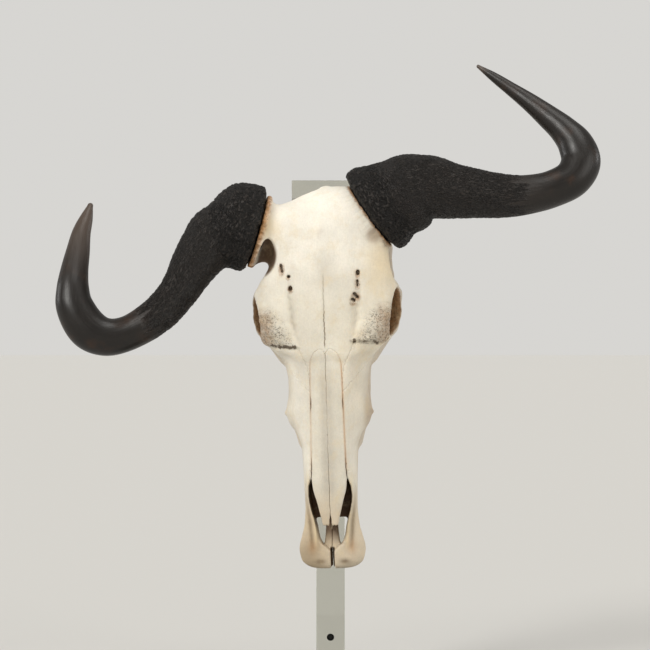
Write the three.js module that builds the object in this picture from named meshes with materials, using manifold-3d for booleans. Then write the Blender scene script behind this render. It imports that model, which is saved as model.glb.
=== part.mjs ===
// A blue wildebeest skull with its horn sheaths, without the lower jaw, on a flat upright and a base plate.
// Millimetres, +Z up. The face looks along -Y, and the origin is the centre of the base's underside.
// Left and right in names are the animal's own, so its right side is at -X.
//
// The bones are modelled whole as one smooth field in the skull's own frame, where u runs to the viewer's
// right, v away from the viewer and w from the tip of the upper jaw up to the crown. The field is turned into
// a mesh, parted along the sutures with thin cuts, and then tilted and skewed as this specimen is.

import * as THREE from 'three';
import { mergeVertices } from 'three/addons/utils/BufferGeometryUtils.js';
import Module from 'manifold-3d';

const GAP = 0.3;

// The skull's place and its skew.
const JAW_TIP_Z = 160;
const FACE_PLANE_Y = -50;
const SKULL_X = -0.2;
const SKULL_LEAN = THREE.MathUtils.degToRad(1.15);
const SKULL_YAW = THREE.MathUtils.degToRad(3.2);
const BROW_SKEW = { left: 4, right: 7.5, at: 372, spread: 20, full: 60 };
const CROWN_SKEW = 0.17;
const SKEW_FROM = 220;
const SKEW_FULL = 440;

// The stand.
const BASE = { width: 290, depth: 250, height: 12, corner: 14 };
const POST = { width: 36, thickness: 12, front: 141, top: 452 };
const PLATE = { width: 98, thickness: 8, bottom: 362, top: 475.5 };
const PEG_RADIUS = 6;
const PEG_SIDES = 20;
const PALATE_PEG_W = 205;
const NUCHAL_PEG_W = 402;
const PEG_LENGTH = 100;

// Lengths along the skull, from the tip of the upper jaw.
const CROWN = 458;
const JAW_TIP = -8;
const NASAL_TIP = 49;
const NASAL_ROOT = 263;
const FACE_END = 286;

// Profiles of the skull: pairs of w and a size, joined by smooth curves.
const FACE_FRONT = curve([[-11, 57], [2, 48], [22, 43], [50, 36], [80, 24], [105, 9], [125, 1], [160, -6],
  [220, -17], [262, -26], [310, -36], [350, -41], [400, -43], [428, -36], [444, -22], [453, -8], [458, 8]]);
const FACE_BACK = curve([[-4, 58], [25, 61], [60, 59], [110, 63], [150, 70], [250, 78], [290, 80]]);
const FACE_HALF = curve([[-8, 17], [-3, 29], [6, 38], [20, 40.5], [36, 37], [50, 33.5], [72, 31.8],
  [115, 32.5], [145, 34], [165, 40.5], [189, 48.5], [205, 47.5], [222, 48], [242, 51], [262, 60], [286, 70]]);
const FACE_TOP_HALF = curve([[-8, 9], [6, 27], [20, 32], [50, 29], [80, 28], [110, 25], [150, 24], [190, 25],
  [230, 28], [262, 40], [286, 60]]);
const NASAL_FRONT = curve([[28, 22], [60, 13.5], [110, 1], [160, -10], [210, -19], [266, -28.5]]);
const NASAL_HALF = curve([[46, 4], [50, 8.5], [60, 11], [80, 15.8], [97, 20.2], [112, 21.5], [140, 20.5],
  [200, 19.5], [245, 18.5], [258, 15], [264, 8]]);
const FRONTAL_HALF = curve([[254, 54], [266, 66], [276, 75], [288, 80], [305, 82], [325, 81], [340, 81],
  [348, 80], [356, 77], [372, 72.5], [400, 66], [428, 60], [440, 48.5], [447, 39], [453, 28], [456.5, 15],
  [458.5, 3]]);
const FRONTAL_ROUND = curve([[256, 130], [310, 175], [380, 150], [430, 105], [460, 70]]);
const OPENING_HALF = curve([[13, -2], [22, 7], [27, 12], [36, 15.5], [50, 18], [69, 23.5], [86, 26],
  [97, 25.5], [105, 23], [130, 18], [158, 12], [176, -2]]);
const MIDDLE_ROD_HALF = curve([[18, 12], [30, 9], [50, 7], [80, 4.5]]);

const FACE_EDGE = { round: 12, share: 0.42, widest: 0.55, back: 0.8, root: 10, tip: 8 };
const FRONTAL = { start: 258, thickness: 27, edge: 12, back: 10, ends: 6, blend: 12 };
const ORBIT_NOTCH = { left: 6, right: 1.5, at: 308, spread: 20 };
const NASAL = { archRadius: 42, thickness: 6.5, edge: 3, sunk: 6, stripBack: 3, stripHalf: 4, stripFrom: 60 };
const ORBIT_TILT = THREE.MathUtils.degToRad(12);
const ORBIT = { at: [78, 9, 306], rim: 29, tube: 6, mouth: 24, inner: 12 };
const ORBIT_HOLLOW = { at: [62, 13, 307], size: [40, 25, 25.5], blend: 8, edge: 5 };
const TEMPLE_HOLLOWS = [
  { at: [-72, -30, 380], size: [16, 20, 18] },
  { at: [65, -34, 393], size: [10, 11, 10] },
];
const TEMPLE_BLEND = 8;

// Lumps blended into the skull.
const LUMPS = {
  braincase: { at: [0, 36, 397], size: [50, 76, 60], blend: 16 },
  condyle: { at: [17, 99, 440], size: [12, 14, 15], blend: 6 },
  bulla: { at: [29, 98, 392], size: [10, 15, 17], blend: 5 },
  cheekTuberosity: { at: [41, 42, 188], size: [8.5, 16, 18], blend: 12 },
};

// Rods blended into the skull: both ends and the radius there.
const RODS = {
  skullBase: { from: [0, 38, 250], to: [0, 52, 380], radii: [32, 36], blend: 14 },
  pedicle: { from: [18, -2, 413], to: [84, -2, 414.5], radii: [31, 37.5], blend: 16 },
  occipitalKeel: { from: [0, 94, 352], to: [0, 98, 430], radii: [12, 17], blend: 10 },
  nuchalCrest: { from: [0, 62, 436], to: [34, 76, 430], radii: [20, 15], blend: 12 },
  earRoot: { from: [40, 70, 388], to: [66, 66, 382], radii: [15, 10], blend: 12 },
  postorbitalBar: { from: [74, -4, 334], to: [84, 48, 327], radii: [8, 6.5], blend: 9 },
};
const FORAMEN_MAGNUM = { from: [0, 84, 470], to: [0, 74, 428], radii: [12, 10], blend: 4 };

// Chains of rods: points with a radius each.
const CHAINS = {
  paracondylar: { points: [[38, 88, 428, 11], [43, 112, 420, 7], [45, 124, 414, 4]], blend: 6 },
  cheekbone: { points: [[51, 46, 258, 11], [76, 42, 288, 8.5], [82, 47, 318, 7], [74, 58, 347, 6],
    [65, 66, 378, 8]], blend: 10 },
};
const CHAIN_BLEND = 4;
const RIM_BLEND = 9;

// The underside: the ridges that hold the teeth, the wings behind the palate and the hollows between them.
const TOOTH_LINE = curve([[145, 29], [180, 35], [215, 39], [255, 37]]);
const TOOTH_ROW = { start: 150, end: 250, alveolus: 86, count: 6 };
const TOOTH = { narrow: 11, widening: 5.5, shortest: 0.9, waist: 0.16, corners: 12 };
const TOOTH_LEVELS = [{ rise: -12, scale: 0.9 }, { rise: 0, scale: 1 }, { rise: 7, scale: 0.96 },
  { rise: 11, scale: 0.7 }];
const TOOTH_RIDGE = { half: 9, top: 50, middle: 200, reach: 55, edge: 5, ends: 6, blend: 8 };
const PTERYGOID = { at: 17, half: 2.8, from: 56, longest: 103, slant: 0.55, middle: 282, reach: 38, edge: 4,
  blend: 6 };
const VAULT = { half: 25, depth: 72, slope: 0.02, arch: 90, middle: 175, reach: 90, edge: 5, ends: 12 };
const CHOANA = { half: 14.5, depth: 60, middle: 300, reach: 38, edge: 5, ends: 6, blend: 4 };

// The nasal cavity, the slots through the palate on both sides of two middle rods, and the cleft at the tip.
const CAVITY = { floor: 51, deepFloor: 57, deepFrom: 78, roofFrom: 100, edge: 4, blend: 3 };
const SLOT = { from: 22, to: 56, edge: 3, wall: 2, blend: 2.5 };
const CLEFT = { half: 2.4, from: -3, to: 20, edge: 2, blend: 1.5 };

// Sutures between the bones.
const CHEEK_SUTURE = { start: 212, slope: 1.2, from: 19, to: 65, back: 270, depth: 60 };
const SNOUT_SUTURE = { start: 118, slope: 1.04, from: 10, depth: 60 };
const CHEEKBONE_BLOCK = { inner: 56, outer: 120, front: 30, back: 100, low: 262, high: 366 };
const NASAL_STRIP = { low: 20, front: -90, steps: 18 };
const HALF_BLOCK = { outer: 130, front: -100, back: 160, low: -50, high: 500 };
const CUT_SHEET = { half: 117, front: -70, back: 140, bottom: -40, steps: 14 };

// The horns, by their middle line: x, depth behind the face plane, z, half width seen from the front and half
// depth. Each starts inside its boss, whose rim lies against the skull. A boss has its distances along the
// axis with a radius each.
const HORN_RIGHT = {
  boss: { at: [-88, -2, 566], axis: [-0.95, -0.1, 0.27], size: [[0, 47], [3, 51], [10, 53], [26, 51.5],
    [42, 46], [54, 33], [61, 19], [65, 5]], depth: 0.95 },
  line: [[-112, -9, 565, 33, 33], [-133, -13, 562, 36, 33], [-150, -18, 543, 32.3, 31],
    [-164, -23, 522, 28, 27], [-180, -29, 494, 23.5, 24], [-204, -34, 466, 22.2, 22],
    [-241, -38, 443, 20.8, 20.5],
    [-266, -40, 439, 22.6, 20], [-286, -40, 448, 24.4, 20], [-303, -37, 475, 22.3, 18.5],
    [-306, -31, 496, 19.4, 17], [-305, -22, 518, 16.6, 14.5], [-302, -12, 541, 14.2, 12.5],
    [-299, -3, 563, 11.3, 10.5], [-294, 5, 581, 8, 7.5], [-290, 11, 596, 3.6, 3.4]],
};
const HORN_LEFT = {
  boss: { at: [46, -6, 586], axis: [0.81, -0.12, 0.58], size: [[0, 48], [4, 54], [14, 56], [26, 51], [40, 42],
    [52, 30], [60, 18], [64, 5]], depth: 0.86 },
  line: [[74, -12, 603, 47, 43], [99, -18, 612, 46.5, 40], [119, -22, 616, 39, 36], [145, -27, 612, 33.3, 31],
    [171, -32, 609, 29.6, 27.5], [202, -36, 606, 26.4, 25], [232, -39, 607, 23.4, 23],
    [262, -40, 614, 22, 21],
    [286, -38, 627, 22.7, 20.5], [296, -33, 646, 23.5, 19.5], [291, -26, 667, 21.4, 17.5],
    [278, -17, 685, 17.4, 15], [260, -8, 702, 14.3, 12.5], [239, 0, 720, 11.1, 9.8], [217, 8, 737, 8.2, 7.6],
    [197, 14, 752, 5.8, 5.4], [179, 19, 765, 2.4, 2.4]],
};
const HORN_SIDES = 18;
const HORN_RINGS = 32;
const RIM_CLEAR = 80;

// The mesh of the bones: the grid's cell and block of cells, how near its corners a surface point may lie,
// and how edges collapse.
const CELL = 4;
const BLOCK = 4;
const BLOCK_NEAR = 2.2;
const CORNER_CLEAR = 0.15;
const COLLAPSE = { lengthCost: 0.02, leastTurn: 0.3, leastArea: 0.1 };
const BONE_TRIANGLES = 6200;
const FIELD_BOX = { low: [-134, -60, -20], high: [134, 134, 468] };

const BONE = new THREE.MeshStandardMaterial({ color: 0xd9cbb0, roughness: 0.62, metalness: 0 });
const TOOTHED_BONE = new THREE.MeshStandardMaterial({ color: 0xcdb994, roughness: 0.6, metalness: 0 });
const HORN = new THREE.MeshStandardMaterial({ color: 0x2b2622, roughness: 0.5, metalness: 0 });
const SMOKED_ACRYLIC = new THREE.MeshStandardMaterial({ color: 0x565447, roughness: 0.15, metalness: 0 });
const PAINTED_STEEL = new THREE.MeshStandardMaterial({ color: 0x2c2b26, roughness: 0.4, metalness: 0.6 });

const wasm = await Module();
wasm.setup();

// Smooth interpolation that never overshoots its points, flat beyond both ends.
function curve(points) {
  const n = points.length;
  const slope = points.slice(1).map(([w, y], i) => (y - points[i][1]) / (w - points[i][0]));
  const tangent = points.map((_, i) => {
    if (i === 0 || i === n - 1) return slope[i === 0 ? 0 : n - 2];
    return slope[i - 1] * slope[i] <= 0 ? 0 : (2 * slope[i - 1] * slope[i]) / (slope[i - 1] + slope[i]);
  });
  return (w) => {
    if (w <= points[0][0]) return points[0][1];
    if (w >= points[n - 1][0]) return points[n - 1][1];
    let i = 0;
    while (w > points[i + 1][0]) i += 1;
    const [w0, y0] = points[i];
    const [w1, y1] = points[i + 1];
    const h = w1 - w0;
    const t = (w - w0) / h;
    const t2 = t * t;
    const t3 = t2 * t;
    return (2 * t3 - 3 * t2 + 1) * y0 + (t3 - 2 * t2 + t) * h * tangent[i]
      + (3 * t2 - 2 * t3) * y1 + (t3 - t2) * h * tangent[i + 1];
  };
}

function clamp(x, low, high) {
  return Math.min(high, Math.max(low, x));
}

// Field building blocks: negative inside, roughly the distance outside.
function join(a, b, k) {
  const h = Math.max(k - Math.abs(a - b), 0) / k;
  return Math.min(a, b) - (h * h * k) / 4;
}

function meet(a, b, k) {
  return -join(-a, -b, k);
}

function ellipsoid(u, v, w, { at, size }) {
  const x = (u - at[0]) / size[0];
  const y = (v - at[1]) / size[1];
  const z = (w - at[2]) / size[2];
  const r = Math.sqrt(x * x + y * y + z * z);
  const g = Math.sqrt((x / size[0]) ** 2 + (y / size[1]) ** 2 + (z / size[2]) ** 2);
  return g > 1e-9 ? (r * (r - 1)) / g : -Math.min(...size);
}

function rod(u, v, w, a, b, ra, rb) {
  const d = [b[0] - a[0], b[1] - a[1], b[2] - a[2]];
  const p = [u - a[0], v - a[1], w - a[2]];
  const long = d[0] * d[0] + d[1] * d[1] + d[2] * d[2];
  const t = clamp((p[0] * d[0] + p[1] * d[1] + p[2] * d[2]) / long, 0, 1);
  return Math.hypot(p[0] - t * d[0], p[1] - t * d[1], p[2] - t * d[2]) - (ra + t * (rb - ra));
}

function chain(u, v, w, points) {
  let best = Infinity;
  for (let i = 0; i + 1 < points.length; i += 1) {
    const a = points[i];
    const b = points[i + 1];
    best = join(best, rod(u, v, w, a, b, a[3], b[3]), CHAIN_BLEND);
  }
  return best;
}

// The face: flat in front, wider towards the cheek teeth, with rounded edges.
function face(u, v, w) {
  const front = FACE_FRONT(w);
  const back = FACE_BACK(w);
  const t = clamp((v - front) / (FACE_EDGE.widest * (back - front)), 0, 1);
  const top = FACE_TOP_HALF(w);
  const half = top + (FACE_HALF(w) - top) * Math.sin((t * Math.PI) / 2);
  const round = Math.min(FACE_EDGE.round, FACE_EDGE.share * (back - front));
  const section = meet(meet(u - half, front - v, round), v - back, round * FACE_EDGE.back);
  return meet(meet(section, w - FACE_END, FACE_EDGE.root), JAW_TIP - w, FACE_EDGE.tip);
}

// The frontal shield, from the root of the nasals to the crown, narrower where the eye sockets show in front.
function frontal(u, v, w, side) {
  const notch = side > 0 ? ORBIT_NOTCH.left : ORBIT_NOTCH.right;
  const half = FRONTAL_HALF(w) - notch * Math.exp(-(((w - ORBIT_NOTCH.at) / ORBIT_NOTCH.spread) ** 2));
  const front = FACE_FRONT(w) + (u * u) / (2 * FRONTAL_ROUND(w));
  const slab = meet(meet(u - half, front - v, FRONTAL.edge), v - front - FRONTAL.thickness, FRONTAL.back);
  return meet(meet(slab, FRONTAL.start - w, FRONTAL.ends), w - CROWN, FRONTAL.ends);
}

// Distance to the ring round the eye socket, and to the wide mouth inside it.
function orbitRing(u, v, w) {
  const c = Math.cos(ORBIT_TILT);
  const s = Math.sin(ORBIT_TILT);
  const du = u - ORBIT.at[0];
  const dv = v - ORBIT.at[1];
  const dw = w - ORBIT.at[2];
  const along = du * c - dv * s;
  const across = Math.hypot(du * s + dv * c, dw);
  return {
    ring: Math.hypot(across - ORBIT.rim, along) - ORBIT.tube,
    mouth: meet(across - ORBIT.mouth, -along - ORBIT.inner, ORBIT.tube),
  };
}

// The ridges for the teeth and the wings behind the palate, with the vault and the rear nostrils cut out.
function underside(before, u, v, w) {
  const across = Math.abs(u - TOOTH_LINE(w)) - TOOTH_RIDGE.half;
  const length = Math.abs(w - TOOTH_RIDGE.middle) - TOOTH_RIDGE.reach;
  const ends = meet(length, TOOTH_RIDGE.top - v, TOOTH_RIDGE.edge);
  const ridge = meet(meet(across, v - TOOTH_ROW.alveolus, TOOTH_RIDGE.edge), ends, TOOTH_RIDGE.ends);
  let d = join(before, ridge, TOOTH_RIDGE.blend);
  const along = Math.abs(w - PTERYGOID.middle);
  const reach = v - PTERYGOID.longest + PTERYGOID.slant * along;
  const leaf = meet(Math.abs(u - PTERYGOID.at) - PTERYGOID.half, reach, PTERYGOID.edge);
  const wing = meet(leaf, meet(PTERYGOID.from - v, along - PTERYGOID.reach, PTERYGOID.edge), PTERYGOID.edge);
  d = join(d, wing, PTERYGOID.blend);
  const roof = VAULT.depth - VAULT.slope * w + (u * u) / VAULT.arch;
  const vault = meet(meet(u - VAULT.half, roof - v, VAULT.edge), Math.abs(w - VAULT.middle) - VAULT.reach,
    VAULT.ends);
  d = meet(d, -vault, VAULT.edge);
  const choana = meet(meet(u - CHOANA.half, CHOANA.depth - v, CHOANA.edge),
    Math.abs(w - CHOANA.middle) - CHOANA.reach, CHOANA.ends);
  return meet(d, -choana, CHOANA.blend);
}

// The nasal cavity, open in front below the nasals' free ends, and the slots that go through the palate.
function nose(before, u, v, w) {
  const open = OPENING_HALF(w);
  const floor = w < CAVITY.deepFrom ? CAVITY.floor : CAVITY.deepFloor;
  let hollow = meet(u - open, v - floor, CAVITY.edge);
  if (w > CAVITY.roofFrom) hollow = meet(hollow, NASAL_FRONT(w) + NASAL.thickness - v, CAVITY.edge);
  let d = meet(before, -hollow, CAVITY.blend);
  const beside = meet(u - open, MIDDLE_ROD_HALF(w) - u, SLOT.wall);
  d = meet(d, -meet(beside, meet(w - SLOT.to, SLOT.from - w, SLOT.edge), SLOT.edge), SLOT.blend);
  const cleft = meet(meet(u - CLEFT.half, w - CLEFT.to, CLEFT.edge), CLEFT.from - w, CLEFT.edge);
  d = meet(d, -cleft, CLEFT.blend);
  const front = NASAL_FRONT(w) + (u * u) / (2 * NASAL.archRadius);
  const sheet = Math.abs(v - front - NASAL.thickness / 2) - NASAL.thickness / 2;
  const nasal = meet(meet(u - NASAL_HALF(w), sheet, NASAL.edge),
    Math.max(NASAL_TIP - w, w - NASAL_ROOT - NASAL.sunk), NASAL.edge);
  return join(d, nasal, NASAL.edge);
}

function skullField(signedU, v, w) {
  const outwards = Math.min(1, Math.abs(signedU) / BROW_SKEW.full) ** 2 * Math.sign(signedU);
  const widest = signedU > 0 ? BROW_SKEW.left : BROW_SKEW.right;
  const brow = widest * Math.exp(-(((w - BROW_SKEW.at) / BROW_SKEW.spread) ** 2));
  const u = Math.abs(signedU) - brow * outwards;
  let d = join(face(u, v, w), frontal(u, v, w, Math.sign(signedU)), FRONTAL.blend);
  for (const lump of Object.values(LUMPS)) d = join(d, ellipsoid(u, v, w, lump), lump.blend);
  for (const { from, to, radii, blend } of Object.values(RODS))
    d = join(d, rod(u, v, w, from, to, ...radii), blend);
  for (const { points, blend } of Object.values(CHAINS)) d = join(d, chain(u, v, w, points), blend);
  const { ring, mouth } = orbitRing(u, v, w);
  d = join(d, ring, RIM_BLEND);
  d = meet(d, -join(ellipsoid(u, v, w, ORBIT_HOLLOW), mouth, ORBIT_HOLLOW.blend), ORBIT_HOLLOW.edge);
  for (const hollow of TEMPLE_HOLLOWS) d = meet(d, -ellipsoid(signedU, v, w, hollow), TEMPLE_BLEND);
  d = nose(underside(d, u, v, w), u, v, w);
  const { from, to, radii, blend } = FORAMEN_MAGNUM;
  return meet(d, -rod(u, v, w, from, to, ...radii), blend);
}

// A closed mesh of the field's zero surface: each cell of a regular grid is split into six tetrahedra round
// its diagonal, and the surface is cut through those it crosses. Blocks far from the surface are skipped.
function surfaceMesh(field, { low, high }, cell) {
  const n = low.map((a, i) => BLOCK * Math.ceil((high[i] - a) / (cell * BLOCK)) + 1);
  const at = (i, j, k) => (k * n[1] + j) * n[0] + i;
  const point = (i, j, k) => [low[0] + i * cell, low[1] + j * cell, low[2] + k * cell];
  const value = new Float32Array(n[0] * n[1] * n[2]).fill(1);
  const near = BLOCK * cell * BLOCK_NEAR;
  const middle = BLOCK / 2;
  const steps = [0, 1, 2].map((x) => (n[x] - 1) / BLOCK);
  const blocks = [];
  for (let k = 0; k < steps[2]; k += 1)
    for (let j = 0; j < steps[1]; j += 1)
      for (let i = 0; i < steps[0]; i += 1) {
        const corner = [i * BLOCK, j * BLOCK, k * BLOCK];
        const d = field(...point(...corner.map((c) => c + middle)));
        const close = Math.abs(d) < near;
        if (close) blocks.push(corner);
        for (let c = 0; c <= BLOCK; c += 1)
          for (let b = 0; b <= BLOCK; b += 1)
            for (let a = 0; a <= BLOCK; a += 1) {
              const index = at(corner[0] + a, corner[1] + b, corner[2] + c);
              if (close) value[index] = NaN;
              else if (!Number.isNaN(value[index])) value[index] = d;
            }
      }
  const sample = (i, j, k) => {
    const index = at(i, j, k);
    if (Number.isNaN(value[index])) value[index] = field(...point(i, j, k)) || 1e-6;
    return value[index];
  };

  const tetrahedra = [[1, 3], [1, 5], [2, 3], [2, 6], [4, 5], [4, 6]].map(([a, b]) => [0, a, b, 7]);
  const vertexOf = new Map();
  const positions = [];
  const faces = [];
  const crossing = (a, b) => {
    const key = Math.min(a.index, b.index) * value.length + Math.max(a.index, b.index);
    if (!vertexOf.has(key)) {
      const t = clamp(a.f / (a.f - b.f), CORNER_CLEAR, 1 - CORNER_CLEAR);
      vertexOf.set(key, positions.length);
      positions.push(a.at.map((s, x) => s + t * (b.at[x] - s)));
    }
    return vertexOf.get(key);
  };
  const emit = (loop, inner, outer) => {
    const [p, q, r] = loop.map((v) => positions[v]);
    const e = [0, 1, 2].map((x) => q[x] - p[x]);
    const g = [0, 1, 2].map((x) => r[x] - p[x]);
    const facing = [0, 1, 2].reduce((sum, x) => sum + (outer.at[x] - inner.at[x])
      * (e[(x + 1) % 3] * g[(x + 2) % 3] - e[(x + 2) % 3] * g[(x + 1) % 3]), 0);
    faces.push(facing > 0 ? loop : [loop[0], loop[2], loop[1]]);
  };
  for (const [i0, j0, k0] of blocks)
    for (let k = k0; k < k0 + BLOCK; k += 1)
      for (let j = j0; j < j0 + BLOCK; j += 1)
        for (let i = i0; i < i0 + BLOCK; i += 1) {
          const corners = [0, 1, 2, 3, 4, 5, 6, 7].map((c) => {
            const [a, b, d] = [i + (c & 1), j + ((c >> 1) & 1), k + (c >> 2)];
            return { index: at(a, b, d), at: point(a, b, d), f: sample(a, b, d) };
          });
          if (corners.every((c) => c.f < 0) || corners.every((c) => c.f >= 0)) continue;
          for (const tetrahedron of tetrahedra) {
            const inner = tetrahedron.map((c) => corners[c]).filter((c) => c.f < 0);
            const outer = tetrahedron.map((c) => corners[c]).filter((c) => c.f >= 0);
            if (inner.length === 1) emit(outer.map((o) => crossing(inner[0], o)), inner[0], outer[0]);
            if (inner.length === 3) emit(inner.map((o) => crossing(outer[0], o)), inner[0], outer[0]);
            if (inner.length !== 2) continue;
            const pairs = [[0, 0], [0, 1], [1, 1], [1, 0]];
            const [a, b, c, d] = pairs.map(([x, y]) => crossing(inner[x], outer[y]));
            emit([a, b, c], inner[0], outer[0]);
            emit([a, c, d], inner[0], outer[0]);
          }
        }
  return { positions, faces };
}

// Fewer triangles by edge collapse, cheapest first by the squared distances to the planes that met there.
function thinOut({ positions, faces }, target) {
  const quadric = positions.map(() => new Float64Array(10));
  const facesOf = positions.map(() => new Set());
  const normalOf = (a, b, c) => {
    const e = [0, 1, 2].map((x) => b[x] - a[x]);
    const g = [0, 1, 2].map((x) => c[x] - a[x]);
    return [e[1] * g[2] - e[2] * g[1], e[2] * g[0] - e[0] * g[2], e[0] * g[1] - e[1] * g[0]];
  };
  faces.forEach((f, index) => {
    const [a, b, c] = f.map((p) => positions[p]);
    const m = normalOf(a, b, c);
    const area = Math.hypot(...m) || 1e-12;
    const [x, y, z] = m.map((s) => s / area);
    const o = -(x * a[0] + y * a[1] + z * a[2]);
    const q = [x * x, x * y, x * z, x * o, y * y, y * z, y * o, z * z, z * o, o * o];
    for (const p of f) {
      facesOf[p].add(index);
      q.forEach((s, i) => { quadric[p][i] += s * area; });
    }
  });
  const costAt = (q, [x, y, z]) => q[0] * x * x + 2 * q[1] * x * y + 2 * q[2] * x * z + 2 * q[3] * x
    + q[4] * y * y + 2 * q[5] * y * z + 2 * q[6] * y + q[7] * z * z + 2 * q[8] * z + q[9];
  const stamp = new Uint32Array(positions.length);
  const heap = [];
  const swap = (i, j) => { [heap[i], heap[j]] = [heap[j], heap[i]]; };
  const push = (item) => {
    heap.push(item);
    for (let i = heap.length - 1; i > 0 && heap[(i - 1) >> 1].cost > heap[i].cost; i = (i - 1) >> 1)
      swap(i, (i - 1) >> 1);
  };
  const pop = () => {
    const top = heap[0];
    const last = heap.pop();
    if (heap.length) {
      heap[0] = last;
      for (let i = 0; ;) {
        let least = i;
        for (const child of [2 * i + 1, 2 * i + 2])
          if (child < heap.length && heap[child].cost < heap[least].cost) least = child;
        if (least === i) break;
        swap(i, least);
        i = least;
      }
    }
    return top;
  };
  const consider = (a, b) => {
    const q = quadric[a].map((s, i) => s + quadric[b][i]);
    const middle = positions[a].map((s, x) => (s + positions[b][x]) / 2);
    const [cost, place] = [positions[a], positions[b], middle].map((p) => [costAt(q, p), p])
      .reduce((best, next) => (next[0] < best[0] ? next : best));
    const length = Math.hypot(...positions[a].map((s, x) => s - positions[b][x]));
    const total = cost + COLLAPSE.lengthCost * length ** 3;
    push({ cost: total, place, a, b, stampA: stamp[a], stampB: stamp[b] });
  };
  const neighbours = (a) => new Set([...facesOf[a]].flatMap((f) => faces[f]).filter((p) => p !== a));
  const turns = (moved, other, place) => [...facesOf[moved]].some((f) => {
    if (faces[f].includes(other)) return false;
    const before = normalOf(...faces[f].map((p) => positions[p]));
    const after = normalOf(...faces[f].map((p) => (p === moved ? place : positions[p])));
    const dot = before[0] * after[0] + before[1] * after[1] + before[2] * after[2];
    const area = Math.hypot(...after);
    return dot < COLLAPSE.leastTurn * Math.hypot(...before) * area || area < COLLAPSE.leastArea;
  });
  faces.forEach(([a, b, c]) => { for (const [p, q] of [[a, b], [b, c], [c, a]]) if (p < q) consider(p, q); });
  let left = faces.length;
  while (left > target && heap.length) {
    const { a, b, place, stampA, stampB } = pop();
    if (stampA !== stamp[a] || stampB !== stamp[b]) continue;
    const around = neighbours(a);
    const shared = [...neighbours(b)].filter((p) => around.has(p));
    if (shared.length !== 2 || turns(a, b, place) || turns(b, a, place)) continue;
    for (const f of [...facesOf[b]]) {
      if (faces[f].includes(a)) {
        faces[f].forEach((p) => facesOf[p].delete(f));
        faces[f] = null;
        left -= 1;
      } else {
        faces[f] = faces[f].map((p) => (p === b ? a : p));
        facesOf[a].add(f);
      }
    }
    facesOf[b].clear();
    positions[a] = place;
    quadric[a] = quadric[a].map((s, i) => s + quadric[b][i]);
    stamp[b] += 1;
    stamp[a] += 1;
    for (const p of neighbours(a)) consider(a, p);
  }
  return { positions, faces: faces.filter(Boolean) };
}

// Between three.js geometries and solids.
function toGeometry({ positions, faces }) {
  const geometry = new THREE.BufferGeometry();
  geometry.setAttribute('position', new THREE.Float32BufferAttribute(positions.flat(), 3));
  geometry.setIndex(faces.flat());
  return geometry;
}

function toSolid(geometry) {
  const bare = geometry.clone();
  for (const name of Object.keys(bare.attributes)) if (name !== 'position') bare.deleteAttribute(name);
  const merged = mergeVertices(bare, 1e-4);
  return new wasm.Manifold(new wasm.Mesh({
    numProp: 3,
    vertProperties: merged.attributes.position.array,
    triVerts: new Uint32Array(merged.index.array),
  }));
}

function fromSolid(solid) {
  const { numProp, vertProperties, triVerts } = solid.getMesh();
  const geometry = new THREE.BufferGeometry();
  const position = new Float32Array((vertProperties.length / numProp) * 3);
  for (let i = 0; i < position.length; i += 1)
    position[i] = vertProperties[Math.floor(i / 3) * numProp + (i % 3)];
  geometry.setAttribute('position', new THREE.BufferAttribute(position, 3));
  geometry.setIndex(new THREE.BufferAttribute(new Uint32Array(triVerts), 1));
  return mergeVertices(geometry, 2e-3);
}

function largest(solid) {
  return solid.decompose().reduce((best, next) => (next.volume() > best.volume() ? next : best));
}

// A solid through rings of points, each ring the same length, with a flat cap at both ends.
function loft(rings) {
  const count = rings[0].length;
  const positions = rings.flat();
  const faces = [];
  for (let r = 0; r + 1 < rings.length; r += 1)
    for (let i = 0; i < count; i += 1) {
      const [a, b] = [r * count + i, r * count + ((i + 1) % count)];
      faces.push([a, b, b + count], [a, b + count, a + count]);
    }
  const last = (rings.length - 1) * count;
  for (let i = 1; i + 1 < count; i += 1) faces.push([0, i + 1, i], [last, last + i, last + i + 1]);
  const solid = toSolid(toGeometry({ positions, faces }));
  if (solid.volume() > 0) return solid;
  return toSolid(toGeometry({ positions, faces: faces.map(([a, b, c]) => [a, c, b]) }));
}

// One horn sheath: the swollen boss and the tapering horn fused into it.
function ringPoints(centre, across, depth, a, b) {
  return Array.from({ length: HORN_SIDES }, (_, i) => {
    const angle = (2 * Math.PI * i) / HORN_SIDES;
    return new THREE.Vector3().copy(centre).addScaledVector(across, a * Math.cos(angle))
      .addScaledVector(depth, b * Math.sin(angle)).toArray();
  });
}

function behindFace([x, depth, z]) {
  return new THREE.Vector3(x, depth + FACE_PLANE_Y, z);
}

function boss({ at, axis, size, depth }, grow) {
  const along = new THREE.Vector3(...axis).normalize();
  const across = new THREE.Vector3(0, 1, 0).cross(along).normalize();
  const deep = along.clone().cross(across).normalize();
  return loft(size.map(([s, r], i) => {
    const centre = behindFace(at).addScaledVector(along, i === 0 ? s - grow : s);
    return ringPoints(centre, across, deep, r + grow, r * depth + grow);
  }));
}

// All that lies beyond the plane of the boss's rim, so that no bone passes it.
function beyondRim({ at, axis }) {
  const along = new THREE.Vector3(...axis).normalize();
  const across = new THREE.Vector3(0, 1, 0).cross(along).normalize();
  const deep = along.clone().cross(across).normalize();
  return loft([-GAP, RIM_CLEAR].map((s) => ringPoints(behindFace(at).addScaledVector(along, s), across, deep,
    RIM_CLEAR, RIM_CLEAR)));
}

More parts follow.
